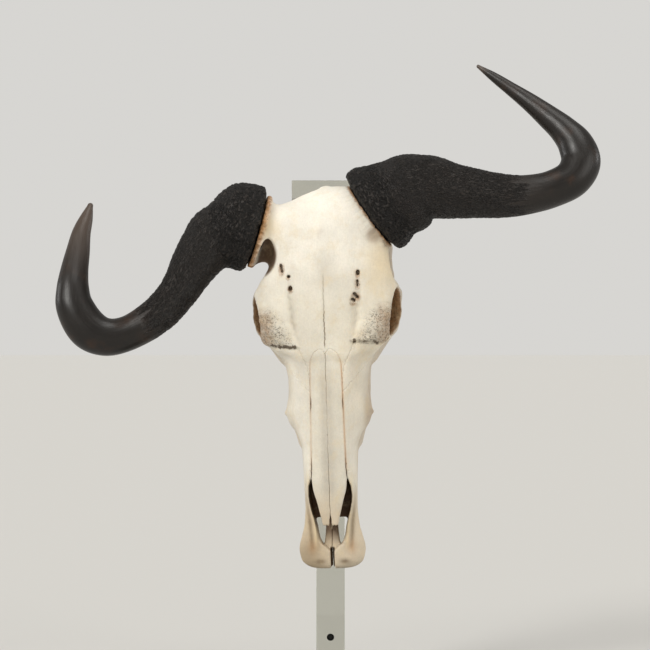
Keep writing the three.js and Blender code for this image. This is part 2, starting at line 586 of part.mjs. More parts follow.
function horn(shape, grow = 0) {
  const line = new THREE.CatmullRomCurve3(shape.line.map(behindFace), false, 'centripetal');
  const spans = shape.line.length - 1;
  const radius = (column) => curve(shape.line.map((p, i) => [i / spans, p[column]]));
  const [halfWidth, halfDepth] = [radius(3), radius(4)];
  const rings = Array.from({ length: HORN_RINGS + 1 }, (_, i) => {
    const t = i / HORN_RINGS;
    const along = line.getTangent(t);
    const across = new THREE.Vector3(0, 1, 0).cross(along).normalize();
    const deep = along.clone().cross(across).normalize();
    return ringPoints(line.getPoint(t), across, deep, halfWidth(t) + grow, halfDepth(t) + grow);
  });
  return largest(boss(shape.boss, grow).add(loft(rings)));
}

// Cutting shapes in the skull's own frame.
function block(low, high) {
  const size = high.map((s, i) => s - low[i]);
  const geometry = new THREE.BoxGeometry(...size);
  geometry.translate(...low.map((s, i) => s + size[i] / 2));
  return toSolid(geometry);
}

// All below the surface w = height(u, v).
function below(height) {
  const { half: reach, front, back, bottom, steps } = CUT_SHEET;
  const row = (j) => front + ((back - front) * j) / steps;
  const positions = [];
  const faces = [];
  const top = (i, j) => j * (steps + 1) + i;
  for (let j = 0; j <= steps; j += 1)
    for (let i = 0; i <= steps; i += 1) {
      const u = reach * ((2 * i) / steps - 1);
      positions.push([u, row(j), height(Math.abs(u), row(j))]);
    }
  const lower = positions.length;
  positions.push(...positions.map(([u, v]) => [u, v, bottom]));
  for (let j = 0; j < steps; j += 1)
    for (let i = 0; i < steps; i += 1) {
      const q = [top(i, j), top(i + 1, j), top(i + 1, j + 1), top(i, j + 1)];
      faces.push([q[0], q[1], q[2]], [q[0], q[2], q[3]]);
      faces.push([q[0] + lower, q[2] + lower, q[1] + lower], [q[0] + lower, q[3] + lower, q[2] + lower]);
    }
  for (let i = 0; i < steps; i += 1)
    for (const [a, b] of [[top(i + 1, 0), top(i, 0)], [top(i, steps), top(i + 1, steps)],
      [top(0, i), top(0, i + 1)], [top(steps, i + 1), top(steps, i)]])
      faces.push([a, b, b + lower], [a, b + lower, a + lower]);
  return toSolid(toGeometry({ positions, faces }));
}

// The strip of the two nasals, from in front of the face to a little behind their inner surface.
function nasalStrip(grow) {
  const { low, front, steps } = NASAL_STRIP;
  const rings = Array.from({ length: steps + 1 }, (_, i) => {
    const w = low + ((NASAL_ROOT - low) * i) / steps;
    const half = Math.max(NASAL_HALF(Math.max(w, NASAL.stripFrom)), NASAL.stripHalf) + grow;
    const back = NASAL_FRONT(w) + NASAL.thickness + NASAL.stripBack + grow;
    const end = i === steps ? w + grow : w;
    return [[-half, front, end], [half, front, end], [half, back, end], [-half, back, end]];
  });
  return loft(rings);
}

// One cheek tooth: a waisted crown, wider towards the back of the row, its root sunk in the jaw.
function tooth(side, index) {
  const pitch = (TOOTH_ROW.end - TOOTH_ROW.start) / TOOTH_ROW.count;
  const grade = index / (TOOTH_ROW.count - 1);
  const length = pitch * (TOOTH.shortest + (1 - TOOTH.shortest) * grade);
  const width = TOOTH.narrow + TOOTH.widening * Math.sin((grade * Math.PI) / 1.4);
  const middle = TOOTH_ROW.start + pitch * (index + 0.5);
  const centre = side * TOOTH_LINE(middle);
  return loft(TOOTH_LEVELS.map(({ rise, scale }) => Array.from({ length: TOOTH.corners }, (_, i) => {
    const angle = (2 * Math.PI * i) / TOOTH.corners;
    const radius = (scale / 2) * (1 - TOOTH.waist * Math.cos(2 * angle) ** 2);
    return [centre + width * radius * Math.cos(angle) * side,
      TOOTH_ROW.alveolus + rise,
      middle + length * radius * Math.sin(angle)];
  })));
}

// From the skull's frame to the part's: the higher the bone, the more it is skewed upwards on the viewer's
// right, and the whole skull is turned and leans a little.
function place([u, v, w]) {
  const share = Math.max(0, (w - SKEW_FROM) / (SKEW_FULL - SKEW_FROM));
  const lifted = w + CROWN_SKEW * share * share * u;
  const x = u * Math.cos(SKULL_YAW) + v * Math.sin(SKULL_YAW);
  const y = v * Math.cos(SKULL_YAW) - u * Math.sin(SKULL_YAW);
  return [x * Math.cos(SKULL_LEAN) - lifted * Math.sin(SKULL_LEAN) + SKULL_X,
    y + FACE_PLANE_Y,
    lifted * Math.cos(SKULL_LEAN) + x * Math.sin(SKULL_LEAN) + JAW_TIP_Z];
}

function placed(solid) {
  const geometry = fromSolid(solid);
  const position = geometry.getAttribute('position');
  for (let i = 0; i < position.count; i += 1)
    position.setXYZ(i, ...place([position.getX(i), position.getY(i), position.getZ(i)]));
  return geometry;
}

const part = new THREE.Group();

function addMesh(name, geometry, material) {
  const mesh = new THREE.Mesh(geometry, material);
  mesh.name = name;
  part.add(mesh);
}

// The bones.
const whole = largest(toSolid(toGeometry(thinOut(surfaceMesh(skullField, FIELD_BOX, CELL), BONE_TRIANGLES))));
const sutureOfCheek = (u, v) => {
  const { start, slope, from, to, back, depth } = CHEEK_SUTURE;
  const deep = clamp(v / depth, 0, 1);
  const slant = start + slope * (clamp(u, from, to) - from);
  return slant + (back - slant) * deep * deep * (3 - 2 * deep);
};
const sutureOfSnout = (u, v) => {
  const { start, slope, from, depth } = SNOUT_SUTURE;
  return start - slope * clamp(v - from, 0, depth);
};
const nasals = whole.intersect(nasalStrip(-GAP / 2));
const bones = whole.subtract(nasalStrip(GAP / 2));
const snout = bones.intersect(below((u, v) => sutureOfSnout(u, v) - GAP / 2));
const cheeks = bones.intersect(below((u, v) => sutureOfCheek(u, v) - GAP / 2))
  .subtract(below((u, v) => sutureOfSnout(u, v) + GAP / 2));
let cranium = bones.subtract(below((u, v) => sutureOfCheek(u, v) + GAP / 2));

const sides = [{ name: 'right', sign: -1 }, { name: 'left', sign: 1 }];
const half = (sign) => {
  const { outer, front, back, low, high } = HALF_BLOCK;
  const across = [GAP / 2, outer].map((x) => sign * x).sort((a, b) => a - b);
  return block([across[0], front, low], [across[1], back, high]);
};
for (const { name, sign } of sides) {
  addMesh(`nasal_${name}`, placed(largest(nasals.intersect(half(sign)))), BONE);
  addMesh(`premaxilla_${name}`, placed(largest(snout.intersect(half(sign)))), BONE);
  let maxilla = largest(cheeks.intersect(half(sign)));
  for (let i = 0; i < TOOTH_ROW.count; i += 1) maxilla = maxilla.add(tooth(sign, i));
  addMesh(`maxilla_${name}`, placed(largest(maxilla)), TOOTHED_BONE);
  const cheekbone = (grow) => {
    const { inner, outer, front, back, low, high } = CHEEKBONE_BLOCK;
    const across = [inner - grow, outer].map((x) => sign * x).sort((a, b) => a - b);
    return block([across[0], front - grow, low - grow], [across[1], back, high + grow]);
  };
  addMesh(`zygomatic_${name}`, placed(largest(cranium.intersect(cheekbone(-GAP / 2)))), BONE);
  cranium = cranium.subtract(cheekbone(GAP / 2));
}

// The horns, and the skull cut clear of them.
const horns = { right: HORN_RIGHT, left: HORN_LEFT };
let head = toSolid(placed(cranium));
for (const [name, shape] of Object.entries(horns)) {
  addMesh(`horn_${name}`, fromSolid(horn(shape)), HORN);
  head = head.subtract(beyondRim(shape.boss)).subtract(horn(shape, GAP));
}
addMesh('cranium', fromSolid(largest(head)), BONE);

// The stand: base plate, upright, the plate behind the crown and two pegs that carry the skull.
function slab(width, depth, height, corner) {
  const outline = new THREE.Shape();
  const [x, y] = [width / 2, depth / 2];
  outline.moveTo(-x + corner, -y);
  outline.lineTo(x - corner, -y);
  outline.absarc(x - corner, -y + corner, corner, -Math.PI / 2, 0);
  outline.absarc(x - corner, y - corner, corner, 0, Math.PI / 2);
  outline.absarc(-x + corner, y - corner, corner, Math.PI / 2, Math.PI);
  outline.absarc(-x + corner, -y + corner, corner, Math.PI, Math.PI * 1.5);
  return new THREE.ExtrudeGeometry(outline, { depth: height, bevelEnabled: false, curveSegments: 6 });
}

addMesh('stand_base', slab(BASE.width, BASE.depth, BASE.height, BASE.corner), PAINTED_STEEL);

const postFront = FACE_PLANE_Y + POST.front;
const post = new THREE.BoxGeometry(POST.width, POST.thickness, JAW_TIP_Z + POST.top - BASE.height - GAP);
post.translate(0, postFront + POST.thickness / 2, (JAW_TIP_Z + POST.top + BASE.height + GAP) / 2);
addMesh('stand_post', post, SMOKED_ACRYLIC);

const plate = new THREE.BoxGeometry(PLATE.width, PLATE.thickness, PLATE.top - PLATE.bottom);
const plateBack = postFront - GAP;
plate.translate(0, plateBack - PLATE.thickness / 2, JAW_TIP_Z + (PLATE.top + PLATE.bottom) / 2);
addMesh('stand_plate', plate, SMOKED_ACRYLIC);

// A round peg along Y from the stand's face to the skull, whose surface its end follows.
const skull = toSolid(placed(whole));
const skullBehind = skull.add(skull.translate([0, GAP, 0]));
function peg(name, height, standFace) {
  const centre = new THREE.Vector3(...place([0, 0, height]));
  const geometry = new THREE.CylinderGeometry(PEG_RADIUS, PEG_RADIUS, PEG_LENGTH, PEG_SIDES);
  geometry.translate(centre.x, standFace - GAP - PEG_LENGTH / 2, centre.z);
  const endAtStand = (piece) => piece.boundingBox().max[1];
  const pieces = toSolid(geometry).subtract(skullBehind).decompose();
  const kept = pieces.reduce((best, next) => (endAtStand(next) > endAtStand(best) ? next : best));
  addMesh(name, fromSolid(kept), PAINTED_STEEL);
}
peg('stand_peg_palate', PALATE_PEG_W, postFront);
peg('stand_peg_nuchal', NUCHAL_PEG_W, plateBack - PLATE.thickness);

export default part;
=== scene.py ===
"""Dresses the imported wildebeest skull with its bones, teeth, horn sheaths and stand, and sets up the studio.

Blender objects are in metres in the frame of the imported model. The bones are worked out in millimetres in the
skull's own frame, where u runs to the viewer's right, v away from the viewer and w from the tip of the upper jaw
up to the crown. Left and right in names are the animal's own, so its right side is at negative u.
"""

import logging
import math
from collections.abc import Callable
from dataclasses import dataclass
from enum import Enum
from functools import cached_property, reduce

import bmesh
import bpy
import numpy as np
import openvdb
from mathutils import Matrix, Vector

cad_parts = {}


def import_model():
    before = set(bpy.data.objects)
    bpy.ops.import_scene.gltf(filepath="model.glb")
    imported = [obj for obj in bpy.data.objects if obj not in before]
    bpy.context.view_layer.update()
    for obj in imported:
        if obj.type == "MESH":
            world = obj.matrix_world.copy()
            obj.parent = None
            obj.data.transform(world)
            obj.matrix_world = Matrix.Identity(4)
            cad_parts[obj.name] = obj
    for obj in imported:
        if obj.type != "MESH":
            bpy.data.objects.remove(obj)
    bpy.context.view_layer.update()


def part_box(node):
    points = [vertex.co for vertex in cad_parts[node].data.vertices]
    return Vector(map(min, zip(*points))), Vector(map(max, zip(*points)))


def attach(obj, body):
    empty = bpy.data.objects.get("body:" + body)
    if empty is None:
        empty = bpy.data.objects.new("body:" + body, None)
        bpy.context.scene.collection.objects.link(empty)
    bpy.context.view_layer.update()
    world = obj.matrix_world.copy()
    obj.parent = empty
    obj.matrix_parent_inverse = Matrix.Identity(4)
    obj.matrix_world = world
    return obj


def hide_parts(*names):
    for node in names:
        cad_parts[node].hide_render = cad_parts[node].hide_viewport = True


log = logging.getLogger("skull")

MILLIMETRE = 0.001
GAP = 0.3
FAINT = -0.25

Array = np.ndarray
Point = tuple[float, float, float]
Field = Callable[[Array, Array, Array], Array]
Node = bpy.types.Node
Socket = bpy.types.NodeSocket
Tree = bpy.types.NodeTree
Thing = bpy.types.Object


class Side(Enum):
    """A side of the animal, with the sign of u on that side."""

    RIGHT = -1
    LEFT = 1

    @property
    def label(self) -> str:
        """The side's name as it stands in node names."""
        return self.name.lower()


class Slot(Enum):
    """The material slots' names."""

    BONE = "bone"
    HORN = "horn"
    ACRYLIC = "acrylic"
    STEEL = "painted_steel"


def linear(red: int, green: int, blue: int) -> tuple[float, float, float, float]:
    """Turns a colour as seen on a screen, 0 to 255, into linear light.

    Args:
        red: Red.
        green: Green.
        blue: Blue.

    Returns:
        The colour in linear light with full alpha.
    """
    shares = [c / 255 for c in (red, green, blue)]
    low = [s / 12.92 if s <= 0.04045 else ((s + 0.055) / 1.055) ** 2.4 for s in shares]
    return (low[0], low[1], low[2], 1.0)


def ramp(low: float, high: float, x: Array) -> Array:
    """Rises smoothly from 0 at low to 1 at high.

    Args:
        low: Where the rise starts.
        high: Where it ends.
        x: Values.

    Returns:
        A share from 0 to 1 for each value.
    """
    t = np.clip((x - low) / (high - low), 0, 1)
    return t * t * (3 - 2 * t)


def hump(x: Array, middle: float, spread: float) -> Array:
    """A bell curve of height 1 round middle."""
    return np.exp(-(((x - middle) / spread) ** 2))


def wobble(x: Array, length: float, phase: float) -> Array:
    """An irregular wave from about -1 to 1 that looks random but is the same each run.

    Args:
        x: Places.
        length: The main wave's length.
        phase: Moves the wave, so that two waves differ.

    Returns:
        The wave's height at each place.
    """
    t = x * (2 * math.pi / length)
    return (np.sin(t + phase) + 0.6 * np.sin(2.23 * t + 1.7 * phase) + 0.4 * np.sin(4.71 * t + 2.9 * phase)) / 1.6


@dataclass(frozen=True)
class Profile:
    """A smooth curve through pairs of a place and a size, flat beyond both ends and never overshooting."""

    points: tuple[tuple[float, float], ...]
    step: float = 0.25

    @cached_property
    def table(self) -> tuple[Array, Array]:
        """Places and sizes close enough together to be joined by straight lines."""
        at, size = np.array(self.points, float).T
        slope = np.diff(size) / np.diff(at)
        turn = slope[:-1] * slope[1:]
        inner = np.where(turn > 0, 2 * turn / np.where(turn > 0, slope[:-1] + slope[1:], 1), 0)
        tangent = np.concatenate([slope[:1], inner, slope[-1:]])
        place = np.append(np.arange(at[0], at[-1], self.step * (at[-1] - at[0]) / max(at[-1] - at[0], 100)), at[-1])
        i = np.clip(np.searchsorted(at, place, side="right") - 1, 0, len(slope) - 1)
        h = at[i + 1] - at[i]
        t = (place - at[i]) / h
        value = ((2 * t**3 - 3 * t**2 + 1) * size[i] + (t**3 - 2 * t**2 + t) * h * tangent[i]
                 + (3 * t**2 - 2 * t**3) * size[i + 1] + (t**3 - t**2) * h * tangent[i + 1])
        return place, value

    def __call__(self, x: Array) -> Array:
        """The size at each place."""
        return np.interp(x, *self.table).astype(np.float32)


def join(a: Array, b: Array, k: float) -> Array:
    """Unites two fields, rounding the seam over about k millimetres."""
    h = np.maximum(k - np.abs(a - b), 0) / k
    return np.minimum(a, b) - h * h * (k / 4)


def meet(a: Array, b: Array, k: float) -> Array:
    """Keeps what two fields share, rounding the edge over about k millimetres."""
    return -join(-a, -b, k)


def overlap(*fields: Array) -> Array:
    """Keeps what all fields share, with sharp edges."""
    return reduce(np.maximum, fields)


@dataclass(frozen=True)
class Lump:
    """An ellipsoid, from its centre and half sizes, that is blended into the skull or cut out of it."""

    at: Point
    size: Point
    blend: float

    def field(self, u: Array, v: Array, w: Array) -> Array:
        """The lump's field."""
        size = self.size
        x, y, z = (u - self.at[0]) / size[0], (v - self.at[1]) / size[1], (w - self.at[2]) / size[2]
        r = np.sqrt(x * x + y * y + z * z)
        g = np.sqrt((x / size[0]) ** 2 + (y / size[1]) ** 2 + (z / size[2]) ** 2)
        return r * (r - 1) / np.maximum(g, 1e-6)


def rod(u: Array, v: Array, w: Array, a: Point, b: Point, ra: float, rb: float) -> Array:
    """The field of a rod with round ends that tapers from radius ra at a to rb at b."""
    d = [b[0] - a[0], b[1] - a[1], b[2] - a[2]]
    p = [u - a[0], v - a[1], w - a[2]]
    t = np.clip((p[0] * d[0] + p[1] * d[1] + p[2] * d[2]) / (d[0] ** 2 + d[1] ** 2 + d[2] ** 2), 0, 1)
    apart = (p[0] - t * d[0]) ** 2 + (p[1] - t * d[1]) ** 2 + (p[2] - t * d[2]) ** 2
    return np.sqrt(apart) - (ra + t * (rb - ra))


@dataclass(frozen=True)
class Limb:
    """Rods from point to point, each point with its radius, that are blended into the skull or cut out of it."""

    points: tuple[tuple[float, float, float, float], ...]
    blend: float
    bend: float = 4

    def field(self, u: Array, v: Array, w: Array) -> Array:
        """The limb's field."""
        best = None
        for a, b in zip(self.points, self.points[1:]):
            piece = rod(u, v, w, a[:3], b[:3], a[3], b[3])
            best = piece if best is None else join(best, piece, self.bend)
        return best


@dataclass(frozen=True)
class Pose:
    """Where the skull stands in the part's frame, and how this specimen is skewed."""

    jaw_tip_z: float = 160
    face_plane_y: float = -50
    shift_x: float = -0.2
    lean: float = math.radians(1.15)
    yaw: float = math.radians(3.2)
    crown_skew: float = 0.17
    skew_from: float = 220
    skew_full: float = 440

    def place(self, u: Array, v: Array, w: Array) -> tuple[Array, Array, Array]:
        """Carries points from the skull's frame to the part's frame, both in millimetres.

        Args:
            u, v, w: Places across, in depth and along the skull.

        Returns:
            x, y and z in the part's frame.
        """
        share = np.maximum(0, (w - self.skew_from) / (self.skew_full - self.skew_from))
        lifted = w + self.crown_skew * share * share * u
        x = u * math.cos(self.yaw) + v * math.sin(self.yaw)
        y = v * math.cos(self.yaw) - u * math.sin(self.yaw)
        return (x * math.cos(self.lean) - lifted * math.sin(self.lean) + self.shift_x, y + self.face_plane_y,
                lifted * math.cos(self.lean) + x * math.sin(self.lean) + self.jaw_tip_z)


@dataclass(frozen=True)
class Foramen:
    """A small canal that opens on the forehead, from its mouth inwards."""

    u: float
    w: float
    radius: float
    across: float = 0
    along: float = 0
    depth: float = 7


@dataclass(frozen=True)
class Orbit:
    """An eye socket: a rough ring of bone, tilted forwards, and the hollow inside it."""

    at: Point = (78, 9, 306)
    tilt: float = math.radians(12)
    rim: float = 29
    tube: float = 6
    mouth: float = 24
    depth: float = 12
    hollow: Lump = Lump((62, 13, 307), (40, 25, 25.5), 8)
    blend: float = 9
    edge: float = 5

    def lies_in(self, d: Array, u: Array, v: Array, w: Array) -> Array:
        """Adds the ring to the skull and cuts the hollow out.

        Args:
            d: The skull's field.
            u, v, w: Places across from the midline, in depth and along the skull.

        Returns:
            The skull's field with the socket.
        """
        c, s = math.cos(self.tilt), math.sin(self.tilt)
        inwards = 0.3 * np.clip(301 - w, 0, 40)
        du, dv, dw = u - self.at[0] + inwards, v - self.at[1], w - self.at[2]
        along = du * c - dv * s
        across = np.hypot(du * s + dv * c, dw)
        turn = np.arctan2(dw, du * s + dv * c)
        rough = 0.8 * wobble(turn, 0.61, 1.3) + 0.5 * wobble(turn, 0.27, 0.2)
        ring = np.hypot(across - self.rim, along) - self.tube - 0.6 * rough
        mouth = meet(across - self.mouth, -along - self.depth, self.tube)
        inside = join(self.hollow.field(u, v, w), mouth, self.hollow.blend)
        return meet(join(d, ring, self.blend), -inside, self.edge)


@dataclass(frozen=True)
class Palate:
    """The underside: the ridges that hold the teeth, the wings behind them and the hollows in between."""

    tooth_line: Profile = Profile(((145, 29), (180, 35), (215, 39), (255, 37)))
    ridge_half: float = 9
    ridge_middle: float = 200
    ridge_reach: float = 55
    ridge_top: float = 50
    alveolus: float = 86.0
    wing_at: float = 17
    wing_half: float = 2.8
    wing_middle: float = 282
    wing_reach: float = 38
    wing_start: float = 56
    wing_longest: float = 103
    wing_slant: float = 0.55
    vault_half: float = 25
    vault_middle: float = 175
    vault_reach: float = 90
    nostril_half: float = 14.5
    nostril_depth: float = 60
    nostril_middle: float = 300
    nostril_reach: float = 38

    def lies_in(self, d: Array, u: Array, v: Array, w: Array) -> Array:
        """Adds the ridges and wings to the skull and cuts out the roof of the mouth and the rear nostrils.

        Args:
            d: The skull's field.
            u, v, w: Places across from the midline, in depth and along the skull.

        Returns:
            The skull's field with its underside.
        """
        across = meet(np.abs(u - self.tooth_line(w)) - self.ridge_half, v - self.alveolus, 5)
        d = join(d, meet(across, meet(np.abs(w - self.ridge_middle) - self.ridge_reach, self.ridge_top - v, 5), 6), 8)
        along = np.abs(w - self.wing_middle)
        leaf = meet(np.abs(u - self.wing_at) - self.wing_half, v - self.wing_longest + self.wing_slant * along, 4)
        d = join(d, meet(leaf, meet(self.wing_start - v, along - self.wing_reach, 4), 4), 6)
        roof = 70 - 0.02 * (w - 100) - v + u * u / 90
        vault = meet(meet(u - self.vault_half, roof, 5), np.abs(w - self.vault_middle) - self.vault_reach, 12)
        d = meet(d, -vault, 5)
        nostrils = meet(u - self.nostril_half, self.nostril_depth - v, 5)
        return meet(d, -meet(nostrils, np.abs(w - self.nostril_middle) - self.nostril_reach, 6), 4)


@dataclass(frozen=True)
class Nose:
    """The nasal cavity, the slots through the palate beside two middle rods, and the two nasals over them."""

    tip: float = 50
    root: float = 263
    front: Profile = Profile(((28, 22), (60, 13.5), (110, 1), (160, -10), (210, -19), (266, -28.5)))
    half: Profile = Profile(((46, 4), (50, 8.5), (60, 11), (80, 15.8), (97, 20.2), (112, 21.5), (140, 20.5),
        (200, 19.5), (245, 18.5), (258, 15), (264, 8)))
    opening: Profile = Profile(((13, -2), (22, 7), (27, 12), (36, 15.5), (50, 18), (69, 23.5), (86, 26),
        (97, 25.5), (105, 23), (130, 18), (158, 12), (176, -2)))
    middle_rod: Profile = Profile(((18, 12), (30, 9), (50, 7), (80, 4.5)))
    thickness: float = 6.5
    sunk: float = 6
    arch: float = 42
    roof_start: float = 100
    slot_low: float = 22
    slot_high: float = 58
    cleft_half: float = 2.4
    cleft_low: float = -9
    cleft_high: float = 21
    cleft_back: float = 57
    septum_half: float = 1.8
    edge: float = 2

    def lies_in(self, d: Array, u: Array, v: Array, w: Array) -> Array:
        """Cuts the cavity, the slots and the cleft at the tip out of the skull, and adds septum and nasals.

        Args:
            d: The skull's field.
            u, v, w: Places across from the midline, in depth and along the skull.

        Returns:
            The skull's field with its nose.
        """
        edge = self.edge
        opening = self.opening(w)
        floor = 50 + 6 * ramp(82, 112, w)
        roof = np.where(w > self.roof_start, self.front(w) + self.thickness, -200)
        d = meet(d, -meet(meet(u - opening, v - floor, 4), roof - v, 4), 3)
        beside = meet(u - opening, self.middle_rod(w) - u, edge)
        d = meet(d, -meet(beside, meet(w - self.slot_high, self.slot_low - w, 3), 5), 2.5)
        cleft = meet(meet(u - self.cleft_half, w - self.cleft_high, edge), self.cleft_low - w, edge)
        d = meet(d, -meet(cleft, v - self.cleft_back, edge), 1.5)
        septum = meet(meet(u - self.septum_half, np.abs(v - 44) - 20, edge), np.abs(w - 166) - 124, 6)
        d = join(d, septum, edge)
        rise = self.front(w) + u * u / (2 * self.arch) + 1.2 * hump(u, 0, 5) - 0.5 * hump(u, 9, 5)
        tip = self.tip + 15 * hump(u, 0, 1.2) + 1.8 * hump(u, 4.6, 0.9) + 1.2 * hump(u, 7.5, 0.8)
        sheet = np.abs(v - rise - self.thickness / 2) - self.thickness / 2
        nasal = meet(meet(u - self.half(w), sheet, edge), np.maximum(tip - w, w - self.root - self.sunk), edge)
        return join(d, nasal, edge)


@dataclass(frozen=True)
class SkullForm:
    """The whole skull as one smooth field, with its sizes in millimetres."""

    pose: Pose = Pose()
    crown: float = 458
    jaw_tip: float = -8
    face_end: float = 286
    face_front: Profile = Profile(((-11, 57), (2, 48), (22, 43), (50, 36), (80, 24), (105, 9), (125, 1), (160, -6),
        (220, -17), (262, -26), (310, -36), (350, -41), (400, -43), (428, -36), (444, -22), (453, -8), (458, 8)))
    face_back: Profile = Profile(((-4, 58), (25, 61), (60, 59), (110, 63), (150, 70), (250, 78), (290, 80)))
    face_half: Profile = Profile(((-8, 17), (-3, 29), (6, 38), (20, 40.5), (36, 37), (50, 33.5), (72, 31.8),
        (115, 32.5), (145, 34), (165, 40.5), (189, 48.5), (205, 47.5), (222, 48), (242, 51), (262, 60), (286, 70)))
    face_top_half: Profile = Profile(((-8, 9), (6, 27), (20, 32), (50, 29), (80, 28), (110, 25), (150, 24),
        (190, 25), (230, 28), (262, 40), (286, 60)))
    face_edge: float = 8.0
    face_widest: float = 0.55
    frontal_half: Profile = Profile(((254, 54), (266, 66), (276, 75), (288, 80), (305, 82), (325, 81), (340, 81),
        (348, 80), (356, 77), (372, 72.5), (400, 66), (428, 60), (440, 48.5), (447, 39), (453, 28), (456.5, 15),
        (458.5, 3)))
    frontal_round: Profile = Profile(((256, 130), (310, 175), (380, 150), (430, 105), (460, 70)))
    frontal_start: float = 258
    frontal_thickness: float = 27
    socket_notch: float = 10
    brow_left: float = 4
    brow_right: float = 7.5
    process: Profile = Profile(((20, 18.4), (49, 19.8), (68, 22), (91, 24.6), (125, 27)))
    nose: Nose = Nose()
    orbit: Orbit = Orbit()
    palate: Palate = Palate()
    braincase: Lump = Lump((0, 36, 397), (50, 76, 60), 16)
    skull_base: Limb = Limb(((0, 38, 250, 32), (0, 52, 380, 36)), 14)
    neck_right: Limb = Limb(((18, -2, 413, 31), (84, -2, 414.5, 37.5)), 16)
    neck_left: Limb = Limb(((18, -2, 413, 31), (84, -2, 416.5, 35.5)), 16)
    occipital_keel: Limb = Limb(((0, 94, 352, 12), (0, 98, 430, 17)), 10)
    nuchal_crest: Limb = Limb(((0, 62, 436, 20), (34, 76, 430, 15)), 12)
    condyle: Lump = Lump((17, 99, 440), (12, 14, 15), 6)
    bulla: Lump = Lump((29, 98, 392), (10, 15, 17), 5)
    paracondylar: Limb = Limb(((38, 88, 428, 11), (43, 112, 420, 7), (45, 124, 414, 4)), 6)
    ear_root: Limb = Limb(((40, 70, 388, 15), (66, 66, 382, 10)), 12)
    tuberosity: Lump = Lump((41, 42, 188), (8.5, 16, 18), 12)
    tuberosity_tip: Limb = Limb(((46, 40, 189, 4), (52.4, 38, 187, 1.2)), 6)
    cheekbone: Limb = Limb(((51, 46, 258, 11), (76, 42, 288, 8.5), (82, 47, 318, 7), (74, 58, 347, 6),
        (65, 66, 378, 8)), 10)
    postorbital_bar: Limb = Limb(((74, -4, 334, 8), (84, 48, 327, 6.5)), 9)
    foramen_magnum: Limb = Limb(((0, 84, 470, 12), (0, 74, 428, 10)), 4)
    temples: tuple[Lump, Lump] = (Lump((-78, -28, 387), (20, 23, 29), 4), Lump((70, -40, 391), (15, 9, 10), 9))
    foramina: tuple[Foramen, ...] = (
        Foramen(-49.5, 363, 1.8, across=1.5, along=8), Foramen(-41, 352, 1.6), Foramen(-39.4, 337, 2.2, along=3),
        Foramen(41, 350, 2.1, along=3), Foramen(40.2, 338, 1.4, along=6),
        Foramen(38, 324, 2.0, across=4, along=5), Foramen(35, 319, 1.5, across=3, along=3),
        Foramen(85, 377, 2.2, across=4, along=-1))

    def ledge(self, u: Array) -> Array:
        """Where the frontal's lower edge overhangs the lacrimal, as a place along the skull."""
        outwards = np.clip(1 - (np.abs(u) - 32) / 37, 0, 1)
        return 270.4 + np.sign(u) * 3.4 * outwards + 0.8 * wobble(u, 13, 0.4)

    def debris(self, u: Array) -> Array:
        """How much dirt and painted shade lie under the ledge across the skull: a long ragged clump on the right, three
        on the left.
        """
        right = ramp(-70, -63, u) * ramp(-30, -36, u) * (0.8 + 0.2 * wobble(u, 6, 2.1))
        left = hump(u, 35, 2.2) + hump(u, 47.5, 5) * 0.7 + hump(u, 60, 5) * 0.8
        return np.clip(right + left, 0, 1)

    def relief(self, u: Array, w: Array) -> Array:
        """How far the front surface stands out of the smooth form at a place on the forehead or face.

        Args:
            u: Places across.
            w: Places along the skull.

        Returns:
            Millimetres outwards, negative for hollows.
        """
        a = np.abs(u)
        brow = hump(a, 61, 15) * hump(w, 302, 26) * 5.5
        plateau = ramp(38, 26, a) * hump(w, 320, 46) * 2.2
        course = 40.5 - 0.14 * np.clip(326 - w, 0, 60) + 0.7 * wobble(w, 37, 0.8)
        groove = -3.4 * hump(a, course, 4.4) * ramp(262, 290, w) * ramp(362, 322, w)
        over = w - self.ledge(u)
        lip = ramp(-1.2, 1.6, over) * hump(w, 278, 22) * 2.4
        drop = ramp(1.2, -2.2, over) * ramp(228, 262, w) * 2.6
        step = ramp(27, 36, a) * (lip - drop)
        crevice = -3.2 * hump(over, -0.8, 2.1) * self.debris(u)
        median = -1.0 * hump(u, 0, 4.5) * ramp(262, 280, w) * ramp(372, 340, w)
        dish = -1.6 * hump(a, 20, 15) * hump(w, 408, 30)
        cheek = 1.3 * hump(a, 38, 9) * hump(w, 224, 18)
        hollow = -1.8 * hump(a, 30, 6) * hump(w, 168, 34)
        process = 2.4 * hump(a, self.process(w), 2.2) * ramp(14, 30, w) * ramp(124, 92, w)
        beside_process = -2.2 * hump(a, self.process(w) + 5.2, 2.4) * ramp(14, 34, w) * ramp(116, 88, w)
        return brow + plateau + groove + step + crevice + median + dish + cheek + hollow + process + beside_process

    def below_forehead(self, u: Array, v: Array, w: Array) -> Array:
        """How far a point lies behind the smooth arch of the forehead and face."""
        return v - self.face_front(w) - u * u / (2 * self.frontal_round(w))

    def face(self, u: Array, v: Array, w: Array) -> Array:
        """The field of the face: flat in front, wider towards the cheek teeth, with rounded edges."""
        front, back = self.face_front(w), self.face_back(w)
        top = self.face_top_half(w)
        t = np.clip((v - front) / (self.face_widest * (back - front)), 0, 1)
        half = top + (self.face_half(w) - top) * np.sin(t * (math.pi / 2))
        sunk = front + 8 * ramp(250, 284, w)
        section = meet(meet(u - half, sunk - v, self.face_edge), v - back, self.face_edge * 0.8)
        return meet(meet(section, w - self.face_end, 10), self.jaw_tip - w, 8)

